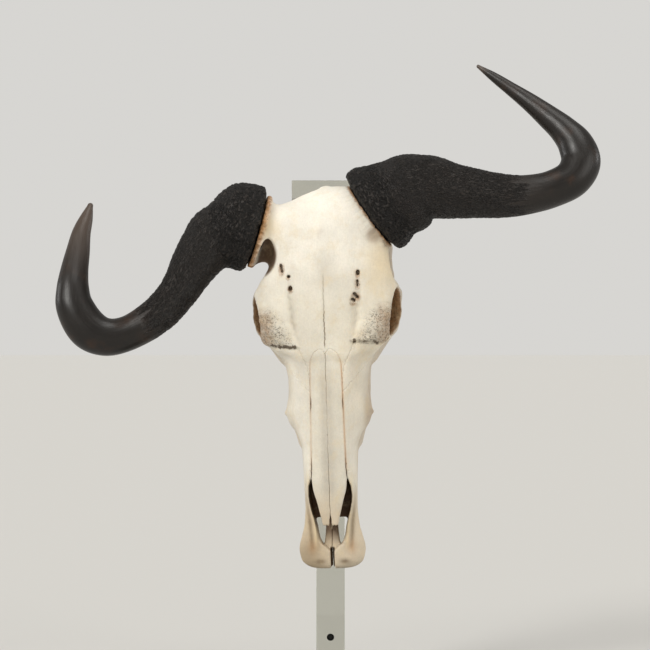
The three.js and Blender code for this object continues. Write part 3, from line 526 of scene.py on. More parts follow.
    def shield(self, signed: Array, u: Array, v: Array, w: Array) -> Array:
        """The field of the forehead's shield, notched at the sides where the eye sockets show in front."""
        arched = self.face_front(w) + u * u / (2 * self.frontal_round(w))
        notch = np.where(signed > 0, self.socket_notch * hump(w, 291, 17), self.socket_notch * hump(w, 297, 17))
        slab = meet(u - self.frontal_half(w) + notch, arched - v, 12)
        slab = meet(slab, v - arched - self.frontal_thickness, 10)
        return meet(meet(slab, self.frontal_start - w, 6), w - self.crown, 6)

    def __call__(self, signed: Array, v: Array, w: Array) -> Array:
        """The field: negative inside the bone, and about the distance to its surface in millimetres.

        Args:
            signed, v, w: Places across, negative on the right, in depth and along the skull.

        Returns:
            The field at each point.
        """
        outwards = np.minimum(1, np.abs(signed) / 60) ** 2 * np.sign(signed)
        u = np.abs(signed) - np.where(signed > 0, self.brow_left, self.brow_right) * hump(w, 372, 20) * outwards
        d = join(self.face(u, v, w), self.shield(signed, u, v, w), 12)
        arched = self.face_front(w) + u * u / (2 * self.frontal_round(w))
        d = d - ramp(16, 5, v - arched) * self.relief(signed, w)
        for part in (self.braincase, self.skull_base):
            d = join(d, part.field(u, v, w), part.blend)
        necks = np.where(signed > 0, self.neck_left.field(u, v, w), self.neck_right.field(u, v, w))
        d = join(d, necks, self.neck_right.blend)
        for part in (self.occipital_keel, self.nuchal_crest, self.condyle, self.bulla, self.paracondylar, self.ear_root,
                     self.tuberosity, self.tuberosity_tip, self.cheekbone, self.postorbital_bar):
            d = join(d, part.field(u, v, w), part.blend)
        d = self.orbit.lies_in(d, u, v, w)
        for temple in self.temples:
            d = meet(d, -temple.field(signed, v, w), temple.blend)
        d = self.nose.lies_in(self.palate.lies_in(d, u, v, w), u, v, w)
        d = meet(d, -self.foramen_magnum.field(np.abs(signed), v, w), self.foramen_magnum.blend)
        return self.drilled(d, signed, v, w)

    def drilled(self, d: Array, signed: Array, v: Array, w: Array) -> Array:
        """Cuts the small canals of the forehead, each a row of bores side by side.

        Args:
            d: The field so far.
            signed, v, w: Places across, negative on the right, in depth and along the skull.

        Returns:
            The field with its canals.
        """
        reach, behind, outside = 14, 20, 6
        for hole in self.foramina:
            near = (np.abs(signed - hole.u) < reach) & (np.abs(w - hole.w) < reach) & (v < behind)
            if not near.any():
                continue
            u, y, z = signed[near], v[near], w[near]
            place = np.array([hole.w])
            mouth = float(self.face_front(place)[0] + hole.u**2 / (2 * self.frontal_round(place)[0]))
            cut = None
            for share in (-1, -0.2, 0.5, 1):
                across, along = hole.u - share * hole.across / 2, hole.w + share * hole.along / 2
                bore = rod(u, y, z, (across, mouth - outside, along), (across, mouth + hole.depth, along + 3),
                           hole.radius, hole.radius * 0.8)
                cut = bore if cut is None else join(cut, bore, 1.5)
            d[near] = meet(d[near], -cut, 1.6)
        return d

    @staticmethod
    def midline(w: Array) -> Array:
        """How far the median suture strays from the middle."""
        return 0.35 * wobble(w, 31, 0.7) + 0.25 * wobble(w, 6.3, 2.2)

    def beyond_side(self, side: Side, signed: Array, w: Array) -> Array:
        """Positive on the other side of the median suture."""
        return GAP / 2 - 0.3 * hump(w, 175, 50) - side.value * (signed - self.midline(w))

    def beyond_nasals(self, signed: Array, v: Array, w: Array) -> Array:
        """Positive outside the strip that the two nasals take up."""
        a = np.abs(signed)
        half = np.maximum(self.nose.half(np.maximum(w, 60)), 4) + 0.3 * wobble(w, 9, 1.1)
        root = self.nose.root + 1.5 - 5.5 * ramp(4.5, 0, a) - 3 * ramp(12, 19, a)
        return overlap(a - half, v - self.nose.front(w) - 9.5, w - root)

    @staticmethod
    def cracked(w: Array) -> Array:
        """How far the nasals' side sutures stand open, which they do in two long cracks."""
        return 1.0 * hump(w, 199, 8) + 1.2 * hump(w, 120, 13)

    @staticmethod
    def above_snout(v: Array, w: Array) -> Array:
        """Positive above the suture between the premaxilla and the maxilla."""
        return (w - (118 - 1.04 * np.clip(v - 10, 0, 60)) - 1.1 * wobble(v, 11, 0.9)) * 0.7

    @staticmethod
    def above_cheek(signed: Array, v: Array, w: Array) -> Array:
        """Positive above the suture between the maxilla and the bones round the eye."""
        deep = ramp(0, 60, v)
        a = np.abs(signed)
        slant = 212 + 1.2 * np.clip(a - 19, 0, 60) + 1.2 * wobble(a, 9, 0.3)
        return (w - (slant + (270 - slant) * deep)) * 0.66

    def beyond_lacrimal(self, signed: Array, v: Array, w: Array) -> Array:
        """Positive outside the lacrimal, below the brow and beside the tongue of the frontal."""
        a = np.abs(signed)
        tongue = 18.5 + 2.5 * ramp(212, 242, w) + 13 * ramp(236, 276, w) + 0.5 * wobble(w, 8, 2.6)
        return overlap(tongue - a, w - self.ledge(signed), v - 26)

    @staticmethod
    def beyond_cheekbone(side: Side, signed: Array, v: Array, w: Array) -> Array:
        """Positive outside the block that holds the side's cheekbone."""
        a = side.value * signed
        return overlap(56 - a, np.abs(v - 65) - 35, np.abs(w - 314) - 52 + 0.8 * wobble(v, 8, 1))

    @staticmethod
    def behind_frontal(signed: Array, v: Array, w: Array) -> Array:
        """Positive behind the suture between the frontals and the braincase."""
        return v - 30 - 1.4 * wobble(w, 14, 0.5) - 1.0 * wobble(signed, 10, 1.9)


def surface(form: Field, low: Point, high: Point, cell: float) -> tuple[Array, Array]:
    """Turns a field into a closed mesh of quads, working only near the surface.

    Args:
        form: The field.
        low: The box's lowest corner.
        high: The box's highest corner.
        cell: The size of a cell.

    Returns:
        Points and quads, with faces that point outwards.
    """
    block, chunk = 4, 60000
    corner = np.array(low, np.float32)
    blocks = np.ceil((np.array(high) - corner) / (cell * block)).astype(int)

    def measured(points: Array) -> Array:
        parts = [form(*points[i:i + chunk].T) for i in range(0, len(points), chunk)]
        return np.concatenate(parts).astype(np.float32)

    index = np.stack(np.meshgrid(*[np.arange(n) for n in blocks], indexing="ij"), -1).reshape(-1, 3)
    middle = corner + (index * block + (block - 1) / 2).astype(np.float32) * cell
    coarse = measured(middle)
    close = np.abs(coarse) < block * cell * 1.5 + 2
    inside = np.stack(np.meshgrid(*[np.arange(block)] * 3, indexing="ij"), -1).reshape(-1, 3)
    fine = ((index[close] * block)[:, None] + inside).reshape(-1, 3).astype(np.float32)
    values = np.repeat(coarse[:, None], block**3, 1)
    values[close] = measured(corner + fine * cell).reshape(-1, block**3)
    values = values.reshape(*blocks, block, block, block).transpose(0, 3, 1, 4, 2, 5)
    values = np.clip(values.reshape(blocks * block), -9, 9)
    grid = openvdb.FloatGrid(9.0)
    grid.copyFromArray(np.ascontiguousarray(values))
    points, _, quads = grid.convertToPolygons(isovalue=0.0, adaptivity=0.0)
    points = corner + points * cell
    quads = largest_island(len(points), quads.astype(np.int64))
    used, flat = np.unique(quads, return_inverse=True)
    points, quads = points[used], flat.reshape(-1, 4)
    a, b, c = points[quads[:, 0]], points[quads[:, 1]], points[quads[:, 2]]
    volume = np.einsum("ij,ij->i", a, np.cross(b, c)).sum() \
        + np.einsum("ij,ij->i", a, np.cross(c, points[quads[:, 3]])).sum()
    return points, quads if volume > 0 else quads[:, ::-1]


def edges_of(quads: Array) -> tuple[Array, Array]:
    """Both ends of each side of each quad."""
    return quads.reshape(-1), np.roll(quads, -1, 1).reshape(-1)


def largest_island(count: int, quads: Array) -> Array:
    """Keeps the quads of the largest connected surface.

    Args:
        count: How many points there are.
        quads: All quads.

    Returns:
        The quads of the surface that has most of them.
    """
    label = np.arange(count)
    a, b = edges_of(quads)
    while True:
        lower = np.minimum(label[a], label[b])
        fresh = label.copy()
        np.minimum.at(fresh, a, lower)
        np.minimum.at(fresh, b, lower)
        fresh = fresh[fresh]
        if np.array_equal(fresh, label):
            break
        label = fresh
    mine = label[quads[:, 0]]
    return quads[mine == np.bincount(mine).argmax()]


def normals_of(points: Array, quads: Array) -> Array:
    """The unit normal at each point."""
    face = np.cross(points[quads[:, 2]] - points[quads[:, 0]], points[quads[:, 3]] - points[quads[:, 1]])
    total = np.stack([np.bincount(quads.reshape(-1), np.repeat(face[:, i], 4), len(points)) for i in range(3)], 1)
    return total / np.maximum(np.linalg.norm(total, axis=1, keepdims=True), 1e-9)


def hollowness(points: Array, quads: Array, rounds: int) -> Array:
    """How far each point lies below its smoothed surroundings, in the points' own units.

    Args:
        points: The mesh's points.
        quads: The mesh's quads.
        rounds: How many times the surroundings are smoothed, so how wide they are.

    Returns:
        A depth for each point, negative on ridges.
    """
    a, b = edges_of(quads)
    degree = np.bincount(a, minlength=len(points))
    smooth = points
    for _ in range(rounds):
        total = np.stack([np.bincount(a, smooth[b, i], len(points)) for i in range(3)], 1)
        smooth = total / degree[:, None]
    return np.einsum("ij,ij->i", smooth - points, normals_of(points, quads))


class Nodes:
    """A thin layer over a node tree, so that a tree reads as a few lines of named steps."""

    def __init__(self, tree: Tree) -> None:
        """Empties the tree and keeps it.

        Args:
            tree: A shader or geometry node tree.
        """
        self.tree = tree
        tree.nodes.clear()

    def add(self, kind: str, _settings: dict | None = None, **values: object) -> Node:
        """Adds a node, sets its properties and feeds its inputs.

        Args:
            kind: The node's type.
            _settings: Properties of the node.
            **values: Inputs, as feed takes them.

        Returns:
            The node.
        """
        node = self.tree.nodes.new(kind)
        for name, value in (_settings or {}).items():
            setattr(node, name, value)
        self.feed(node, **values)
        return node

    def feed(self, node: Node, **values: object) -> None:
        """Fills or links a node's inputs.

        Args:
            node: The node.
            **values: Inputs by name with spaces as underscores, each a socket to link or a plain value. A name
                such as in_0 is an input's place in the list.
        """
        for name, value in values.items():
            key = int(name[3:]) if name.startswith("in_") else name.replace("_", " ")
            socket = node.inputs[key]
            if isinstance(value, Socket):
                self.tree.links.new(value, socket)
            else:
                socket.default_value = value

    def math(self, operation: str, a: object, b: object = 0.0, c: object = 0.0) -> Socket:
        """The result of a sum on one, two or three numbers or sockets."""
        return self.add("ShaderNodeMath", {"operation": operation}, in_0=a, in_1=b, in_2=c).outputs[0]

    def plus(self, a: object, b: object) -> Socket:
        """The sum of two numbers."""
        return self.math("ADD", a, b)

    def minus(self, a: object, b: object) -> Socket:
        """The first number less the second."""
        return self.math("SUBTRACT", a, b)

    def times(self, a: object, b: object) -> Socket:
        """The product of two numbers."""
        return self.math("MULTIPLY", a, b)

    def place(self) -> Socket:
        """Where a point of a finish lies in its object."""
        return self.add("ShaderNodeTexCoord").outputs["Object"]

    def mark(self, name: str, output: str = "Fac") -> Socket:
        """What the mesh stores under a name, as a finish reads it."""
        return self.add("ShaderNodeAttribute", {"attribute_name": name}).outputs[output]

    def stored(self, name: str, kind: str = "FLOAT") -> Socket:
        """What the mesh stores under a name, as a geometry tree reads it."""
        return self.add("GeometryNodeInputNamedAttribute", {"data_type": kind}, Name=name).outputs[0]

    def swirled(self, vector: object, where: object, scale: float, seed: object, reach: float) -> Socket:
        """A place pushed aside by up to half of reach, so that a pattern on it curls."""
        swirl = self.add("ShaderNodeTexNoise", {"noise_dimensions": "4D"}, Vector=where, Scale=scale, W=seed)
        aside = self.vector("SUBTRACT", swirl.outputs["Color"], (0.5, 0.5, 0.5))
        return self.vector("ADD", vector, self.vector("SCALE", aside, reach))

    def vector(self, operation: str, a: object, b: object) -> Socket:
        """The result of a sum on two vectors."""
        key = "in_3" if operation == "SCALE" else "in_1"
        return self.add("ShaderNodeVectorMath", {"operation": operation}, in_0=a, **{key: b}).outputs[0]

    def spread(self, value: object, low: float, high: float, start: float = 0.0, end: float = 1.0) -> Socket:
        """Maps a value from low..high to start..end, held at both ends."""
        node = self.add("ShaderNodeMapRange", {"interpolation_type": "SMOOTHSTEP"}, Value=value, From_Min=low,
                        From_Max=high, To_Min=start, To_Max=end)
        return node.outputs[0]

    def noise(self, vector: object, scale: float, detail: float = 4, roughness: float = 0.55,
              seed: object = 0.0) -> Socket:
        """Smooth noise from 0 to 1 at a place, with a seed."""
        node = self.add("ShaderNodeTexNoise", {"noise_dimensions": "4D"}, Vector=vector, Scale=scale, Detail=detail,
                        Roughness=roughness, W=seed)
        return node.outputs[0]

    def cells(self, vector: object, scale: object) -> Socket:
        """The distance to the nearest of scattered points, for pits and pores."""
        return self.add("ShaderNodeTexVoronoi", {"feature": "F1"}, Vector=vector, Scale=scale).outputs[0]

    def mix(self, share: object, a: object, b: object, way: str = "MIX") -> Socket:
        """Mixes two colours, or multiplies them where the way is MULTIPLY."""
        settings = {"data_type": "RGBA", "blend_type": way}
        return self.add("ShaderNodeMix", settings, in_0=share, in_6=a, in_7=b).outputs[2]


class Finish:
    """A surface finish whose material is made once."""

    name: str = "finish"

    @cached_property
    def material(self) -> bpy.types.Material:
        """The finish as a Blender material."""
        material = bpy.data.materials.new(self.name)
        material.use_nodes = True
        sheet = Nodes(material.node_tree)
        shader = sheet.add("ShaderNodeBsdfPrincipled")
        sheet.add("ShaderNodeOutputMaterial", Surface=shader.outputs[0])
        self.fill(sheet, shader)
        return material

    def fill(self, sheet: Nodes, shader: Node) -> None:
        """Sets the shader's colour, gloss and bump.

        Args:
            sheet: The material's nodes.
            shader: Its main shader.
        """
        raise NotImplementedError

    @staticmethod
    def bump(sheet: Nodes, shader: Node, height: object, distance: float, strength: float) -> None:
        """Adds fine relief that the mesh is too coarse for.

        Args:
            sheet: The material's nodes.
            shader: Its main shader.
            height: The height, 0 to 1.
            distance: The height of 1, in metres.
            strength: The share of it that shows.
        """
        relief = sheet.add("ShaderNodeBump", Height=height, Distance=distance, Strength=strength)
        sheet.feed(shader, Normal=relief.outputs[0])


@dataclass(frozen=True)
class BoneFinish(Finish):
    """Dry, bleached bone: mottled cream, brown painted shade in hollows, rusty stains and open pores where it is
    pitted.
    """

    name: str = "dry_bone"
    # the brown of dirt, also used for the painted shade in hollows
    dirt: tuple = linear(84, 64, 40)
    rust: tuple = linear(150, 102, 48)
    patina: tuple = linear(222, 202, 164)
    line: tuple = linear(96, 72, 36)
    roughness: float = 0.62

    def fill(self, sheet: Nodes, shader: Node) -> None:
        """Sets the shader's colour, gloss and bump."""
        where = sheet.place()
        tint = sheet.mark("tint", "Color")
        crevice = sheet.mark("crevice")
        pitted = sheet.mark("pitted")
        stain = sheet.mark("stain")
        debris = sheet.mark("debris")
        seam = sheet.mark("seam")
        seam_share = sheet.mark("seam_share")
        cloud = sheet.noise(where, 28, 5, 0.6, 1.0)
        grain = sheet.noise(where, 420, 4, 0.6, 2.0)
        streak = sheet.add("ShaderNodeMapping", Vector=where, Scale=(900, 900, 90)).outputs[0]
        streaks = sheet.noise(streak, 1.0, 3, 0.5, 3.0)
        shade = sheet.times(sheet.spread(cloud, 0.3, 0.7, 0.9, 1.04), sheet.spread(grain, 0.25, 0.75, 0.95, 1.03))
        shade = sheet.times(shade, sheet.spread(streaks, 0.2, 0.8, 0.965, 1.02))
        colour = sheet.mix(1.0, tint, shade, "MULTIPLY")
        aged = sheet.spread(sheet.noise(where, 52, 5, 0.7, 5.5), 0.46, 0.72, 0.0, 0.4)
        colour = sheet.mix(aged, colour, self.patina)
        some = sheet.noise(where, 260, 3, 0.5, 4.5)
        pores = sheet.math("MAXIMUM", sheet.spread(sheet.cells(where, 800), 0.42, 0.16),
                           sheet.spread(sheet.cells(where, 460), 0.4, 0.22))
        pores = sheet.times(pores, sheet.spread(some, 0.38, 0.52))
        pore = sheet.times(pores, sheet.plus(pitted, 0.03))
        # painted shade: the hollows that the crevice mark measures, darkened toward a brown, with the open pores
        dirt_and_shade_share = sheet.times(crevice, sheet.spread(grain, 0.2, 0.7, 0.6, 1.0))
        dirt_and_shade_share = sheet.math("MINIMUM", sheet.plus(dirt_and_shade_share, sheet.times(pore, 0.75)), 0.93)
        patchy = sheet.times(stain, sheet.spread(sheet.noise(where, 160, 5, 0.65, 4.0), 0.34, 0.62))
        colour = sheet.mix(sheet.times(patchy, 0.85), colour, self.rust)
        # dirt clumps with painted shade in the band under the ledge
        clump = sheet.plus(debris, sheet.times(sheet.minus(some, 0.5), 1.6))
        clump = sheet.times(sheet.spread(clump, 0.36, 0.66), sheet.spread(debris, 0.05, 0.4))
        dirt_and_shade_share = sheet.math("MAXIMUM", dirt_and_shade_share, sheet.times(clump, 0.85))
        line = sheet.spread(sheet.math("ABSOLUTE", seam), 1.0, 0.25)
        line = sheet.times(sheet.times(line, seam_share), sheet.spread(some, 0.3, 0.6, 0.4, 1.0))
        colour = sheet.mix(sheet.times(line, 0.85), colour, self.line)
        rough = sheet.spread(grain, 0.2, 0.8, self.roughness - 0.07, self.roughness + 0.12)
        sheet.feed(shader, Base_Color=sheet.mix(dirt_and_shade_share, colour, self.dirt), Roughness=rough, IOR=1.48,
                   Subsurface_Weight=0.08, Subsurface_Radius=(1.0, 0.7, 0.45), Subsurface_Scale=0.002)
        height = sheet.minus(sheet.times(grain, 0.6), sheet.times(pore, 1.4))
        height = sheet.plus(height, sheet.times(streaks, 0.25))
        self.bump(sheet, shader, height, 0.0006, 0.75)


@dataclass(frozen=True)
class ToothFinish(Finish):
    """Enamel and dentine: ivory with brown tartar low on the crown and dark crescents on the grinding face."""

    name: str = "tooth_enamel"
    enamel: tuple = linear(214, 198, 164)
    tartar: tuple = linear(96, 70, 42)

    def fill(self, sheet: Nodes, shader: Node) -> None:
        """Sets the shader's colour, gloss and bump."""
        where = sheet.place()
        worn = sheet.mark("worn")
        cloud = sheet.noise(where, 240, 5, 0.6, 5.0)
        share = sheet.times(sheet.spread(cloud, 0.4, 0.7), 0.45)
        share = sheet.math("MINIMUM", sheet.plus(share, worn), 0.9)
        sheet.feed(shader, Base_Color=sheet.mix(share, self.enamel, self.tartar), IOR=1.6,
                   Roughness=sheet.spread(cloud, 0.3, 0.7, 0.22, 0.45))
        self.bump(sheet, shader, cloud, 0.0004, 0.5)


@dataclass(frozen=True)
class HornFinish(Finish):
    """Keratin: matte fissured bark on the boss with painted shade in its cracks and painted highlights on its ridges,
    dusty fibres on the shaft, polished and translucent at the tip.
    """

    name: str = "horn_sheath"
    core: tuple = linear(38, 30, 24)
    deep: tuple = linear(10, 8, 6)
    # the colour of the dust on the fibres, also used for the painted highlights on the bark's ridges
    dust: tuple = linear(118, 106, 92)
    amber: tuple = linear(84, 52, 28)
    tip: tuple = linear(92, 78, 68)
    gloss: float = 0.42

    def fill(self, sheet: Nodes, shader: Node) -> None:
        """Sets the shader's colour, gloss and bump."""
        where = sheet.place()
        grown = sheet.mark("grown", "Vector")
        polish = sheet.mark("polish")
        crevice = sheet.mark("crevice")
        tip = sheet.mark("tip")
        stretched = sheet.add("ShaderNodeMapping", Vector=grown, Scale=(700, 700, 45)).outputs[0]
        fibre = sheet.noise(stretched, 1.0, 4, 0.6, 6.0)
        cloud = sheet.noise(where, 55, 5, 0.6, 7.0)
        fine = sheet.noise(where, 700, 3, 0.6, 8.0)
        barky = sheet.mark("barky")
        curled = sheet.swirled(sheet.mark("rimwise", "Vector"), where, 70.0, 8.5, 0.008)
        drawn = sheet.mark("drawn")
        round_boss = sheet.noise(sheet.vector("MULTIPLY", curled, (400.0, 170.0, 170.0)), 1.0, 3, 0.6, 8.7)
        down_shaft = sheet.noise(sheet.vector("MULTIPLY", grown, (560.0, 560.0, 110.0)), 1.0, 3, 0.6, 8.9)
        either = sheet.math("MULTIPLY_ADD", sheet.minus(down_shaft, round_boss), drawn, round_boss)
        wrinkle = sheet.math("ABSOLUTE", sheet.minus(either, 0.5))
        wrinkle = sheet.times(sheet.spread(wrinkle, 0.0, 0.1), barky)
        colour = sheet.mix(sheet.spread(cloud, 0.3, 0.7, 0.0, 0.5), self.core, self.deep)
        # painted shade: the sheath's hollows darkened toward the deep colour
        colour = sheet.mix(sheet.times(crevice, 0.85), colour, self.deep)
        # painted shade: the cracks of the bark darkened toward the deep colour
        crack = sheet.times(sheet.minus(barky, wrinkle), 0.85)
        colour = sheet.mix(crack, colour, self.deep)
        # painted highlight: the tops of the bark's ridges lightened toward the pale dust colour
        grey = sheet.times(sheet.spread(fine, 0.5, 0.72, 0.0, 0.12), wrinkle)
        colour = sheet.mix(grey, colour, self.dust)
        dusty = sheet.times(sheet.spread(fibre, 0.54, 0.78), sheet.spread(cloud, 0.4, 0.65, 0.02, 0.6))
        dusty = sheet.times(dusty, sheet.minus(1.0, sheet.times(polish, 0.75)))
        dusty = sheet.times(dusty, sheet.minus(1.0, sheet.times(barky, 0.7)))
        colour = sheet.mix(dusty, colour, self.dust)
        glow = sheet.times(polish, sheet.spread(sheet.noise(where, 36, 3, 0.5, 9.0), 0.52, 0.75, 0, 0.3))
        colour = sheet.mix(sheet.times(polish, 0.6), colour, self.deep)
        colour = sheet.mix(glow, colour, self.amber)
        colour = sheet.mix(sheet.times(tip, 0.7), colour, self.tip)
        dull = sheet.spread(sheet.plus(fibre, sheet.times(fine, 0.4)), 0.5, 0.9, 0.0, 0.14)
        rough = sheet.plus(sheet.spread(polish, 0.0, 1.0, 0.46, 0.28), dull)
        sheet.feed(shader, Base_Color=colour, Roughness=rough, IOR=1.5, Specular_IOR_Level=self.gloss)
        smooth = sheet.minus(1.0, sheet.times(polish, 0.97))
        height = sheet.plus(sheet.times(fibre, 0.6), sheet.times(fine, 0.3))
        height = sheet.math("MULTIPLY_ADD", wrinkle, 2.2, sheet.times(height, smooth))
        self.bump(sheet, shader, height, 0.0016, 1.0)


@dataclass(frozen=True)
class AcrylicFinish(Finish):
    """Clear acrylic sheet with the faint smoky green of its thickness."""

    name: str = "clear_acrylic"
    colour: tuple = (0.64, 0.64, 0.58, 1.0)

    def fill(self, sheet: Nodes, shader: Node) -> None:
        """Sets the shader's colour, gloss and bump."""
        smear = sheet.noise(sheet.place(), 34, 4, 0.6, 10.0)
        sheet.feed(shader, Base_Color=self.colour, Transmission_Weight=1.0, IOR=1.49,
                   Roughness=sheet.spread(smear, 0.45, 0.75, 0.015, 0.09))


@dataclass(frozen=True)
class SteelFinish(Finish):
    """Powder-coated steel, fine orange-peel texture in dark grey."""

    name: str = "painted_steel"
    colour: tuple = linear(46, 45, 42)

    def fill(self, sheet: Nodes, shader: Node) -> None:
        """Sets the shader's colour, gloss and bump."""
        where = sheet.place()
        peel = sheet.noise(where, 900, 3, 0.5, 11.0)
        scuff = sheet.noise(where, 22, 5, 0.65, 12.0)
        lifted = tuple(min(1.0, c * 1.7) for c in self.colour[:3]) + (1.0,)
        sheet.feed(shader, Base_Color=sheet.mix(sheet.spread(scuff, 0.45, 0.75, 0, 0.6), self.colour, lifted),
                   Roughness=sheet.spread(scuff, 0.3, 0.7, 0.38, 0.55))
        self.bump(sheet, shader, peel, 0.0002, 0.6)


@dataclass(frozen=True)
class FeltFinish(Finish):
    """Dark felt of the pads where the pegs meet the bone."""

    name: str = "felt_pad"
    colour: tuple = linear(58, 56, 52)

    def fill(self, sheet: Nodes, shader: Node) -> None:
        """Sets the shader's colour, gloss and bump."""
        fluff = sheet.noise(sheet.place(), 2200, 4, 0.7, 13.0)
        pale = tuple(min(1.0, c * 1.9) for c in self.colour[:3]) + (1.0,)
        sheet.feed(shader, Base_Color=sheet.mix(sheet.spread(fluff, 0.3, 0.7), self.colour, pale), Roughness=0.95,
                   Sheen_Weight=0.4)
        self.bump(sheet, shader, fluff, 0.0004, 0.8)


def in_scene(name: str, mesh: bpy.types.Mesh) -> Thing:
    """Makes a smooth shaded object of a mesh and puts it in the scene."""
    mesh.shade_smooth()
    made = bpy.data.objects.new(name, mesh)
    bpy.context.scene.collection.objects.link(made)
    return made


def new_object(name: str, points: Array, faces: Array) -> Thing:
    """Makes a mesh object from arrays, smooth shaded.

    Args:
        name: The object's name.
        points: Points in metres.
        faces: Faces with the same number of corners each.

    Returns:
        The object, in the scene.
    """
    mesh = bpy.data.meshes.new(name)
    mesh.vertices.add(len(points))
    mesh.vertices.foreach_set("co", np.ascontiguousarray(points, np.float32).ravel())
    mesh.loops.add(faces.size)
    mesh.loops.foreach_set("vertex_index", np.ascontiguousarray(faces, np.int32).ravel())
    mesh.polygons.add(len(faces))
    mesh.polygons.foreach_set("loop_start", np.arange(0, faces.size, faces.shape[1], dtype=np.int32))
    mesh.update(calc_edges=True)
    return in_scene(name, mesh)


def from_bmesh(name: str, bm: bmesh.types.BMesh) -> Thing:
    """Makes a smooth shaded object of a bmesh, with its faces turned outwards, and frees the bmesh.

    Args:
        name: The object's name.
        bm: The bmesh.

    Returns:
        The object, in the scene.
    """
    bmesh.ops.recalc_face_normals(bm, faces=bm.faces)
    mesh = bpy.data.meshes.new(name)
    bm.to_mesh(mesh)
    bm.free()
    return in_scene(name, mesh)


def hand_over(made: Thing, node: str | None = None) -> None:
    """Has a piece ride on the part and stand for a CAD node, and reports it.

    Args:
        made: The piece.
        node: The CAD node that it stands for, if any.
    """
    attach(made, "root")
    if node:
        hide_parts(node)
    log.info("%s has %d points", made.name, len(made.data.vertices))


def store(made: Thing, **marks: Array) -> None:
    """Stores numbers, vectors or colours at the points of an object's mesh.

    Args:
        made: The object.
        **marks: By name, one row for each point, with one, three or four numbers.
    """
    for name, values in marks.items():
        width = 1 if values.ndim == 1 else values.shape[1]
        kind, key = {1: ("FLOAT", "value"), 3: ("FLOAT_VECTOR", "vector"), 4: ("FLOAT_COLOR", "color")}[width]
        attribute = made.data.attributes.new(name, kind, "POINT")
        attribute.data.foreach_set(key, np.ascontiguousarray(values, np.float32).ravel())


def through_nodes(made: Thing, tree: Tree, **inputs: object) -> Thing:
    """Runs an object through a Geometry Nodes tree and keeps the result as its plain mesh.

    Args:
        made: The object.
        tree: The tree.
        **inputs: The tree's inputs by name with spaces as underscores.

    Returns:
        The same object.
    """
    modifier = made.modifiers.new(tree.name, "NODES")
    modifier.node_group = tree
    sockets = {s.name: s.identifier for s in tree.interface.items_tree if s.in_out == "INPUT"}
    for name, value in inputs.items():
        modifier[sockets[name.replace("_", " ")]] = value
    graph = bpy.context.evaluated_depsgraph_get()
    mesh = bpy.data.meshes.new_from_object(made.evaluated_get(graph), preserve_all_data_layers=True, depsgraph=graph)
    made.modifiers.clear()
    made.data = mesh
    return made


def new_tree(name: str, inputs: dict[str, tuple[str, object]]) -> tuple[Nodes, Node, Node]:
    """Starts a Geometry Nodes tree with one geometry in and out and named inputs.

    Args:
        name: The tree's name.
        inputs: Each input's socket type and default value, by name.

    Returns:
        The tree's nodes, its input node and its output node.
    """
    tree = bpy.data.node_groups.new(name, "GeometryNodeTree")
    tree.interface.new_socket("Geometry", in_out="INPUT", socket_type="NodeSocketGeometry")
    tree.interface.new_socket("Geometry", in_out="OUTPUT", socket_type="NodeSocketGeometry")
    for label, (kind, value) in inputs.items():
        socket = tree.interface.new_socket(label, in_out="INPUT", socket_type=kind)
        if value is not None:
            socket.default_value = value
    sheet = Nodes(tree)
    return sheet, sheet.add("NodeGroupInput"), sheet.add("NodeGroupOutput")


def ended(sheet: Nodes, given: Node, result: Node, last: Node) -> Tree:
    """Ends a Geometry Nodes tree by setting its finish.

    Args:
        sheet: The tree's nodes.
        given: Its input node, with an input named Finish.
        result: Its output node.
        last: The node that makes the geometry.

    Returns:
        The tree.
    """
    painted = sheet.add("GeometryNodeSetMaterial", Geometry=last.outputs[0], Material=given.outputs["Finish"])
    sheet.feed(result, Geometry=painted.outputs[0])
    return sheet.tree


def raised(sheet: Nodes, given: Node, result: Node, height: Socket) -> Tree:
    """Ends a Geometry Nodes tree by raising the given surface along its normals, and sets its finish.

    Args:
        sheet: The tree's nodes.
        given: Its input node.
        result: Its output node.
        height: How far each point rises, in metres.

    Returns:
        The tree.
    """
    normal = sheet.add("GeometryNodeInputNormal").outputs[0]
    moved = sheet.add("GeometryNodeSetPosition", Geometry=given.outputs["Geometry"],
                      Offset=sheet.vector("SCALE", normal, height))
    return ended(sheet, given, result, moved)


@dataclass(frozen=True)
class BoneSkin:
    """The tree that roughens a bone: gentle unevenness all over, and pits and knobs where it is marked pitted."""

    name: str = "bone_skin"

    @cached_property
    def tree(self) -> Tree:
        """The Geometry Nodes tree."""
        sheet, given, result = new_tree(self.name, {
            "Unevenness": ("NodeSocketFloat", 0.0003), "Pit Depth": ("NodeSocketFloat", 0.0011),
            "Pit Scale": ("NodeSocketFloat", 330.0), "Seed": ("NodeSocketFloat", 3.0),
            "Finish": ("NodeSocketMaterial", None)})
        where = sheet.add("GeometryNodeInputPosition").outputs[0]
        marked = sheet.stored("pitted")
        broad = sheet.minus(sheet.noise(where, 60, 3, 0.5, given.outputs["Seed"]), 0.5)
        small = sheet.minus(sheet.noise(where, 240, 3, 0.6, given.outputs["Seed"]), 0.5)
        even = sheet.times(sheet.math("MULTIPLY_ADD", small, 0.5, broad), given.outputs["Unevenness"])
        pit = sheet.spread(sheet.cells(where, given.outputs["Pit Scale"]), 0.62, 0.15)
        pit = sheet.times(pit, sheet.spread(small, -0.12, 0.1))
        deep = sheet.times(sheet.times(pit, marked), given.outputs["Pit Depth"])
        knob = sheet.times(sheet.times(small, marked), 0.0016)
        return raised(sheet, given, result, sheet.plus(sheet.minus(even, deep), knob))


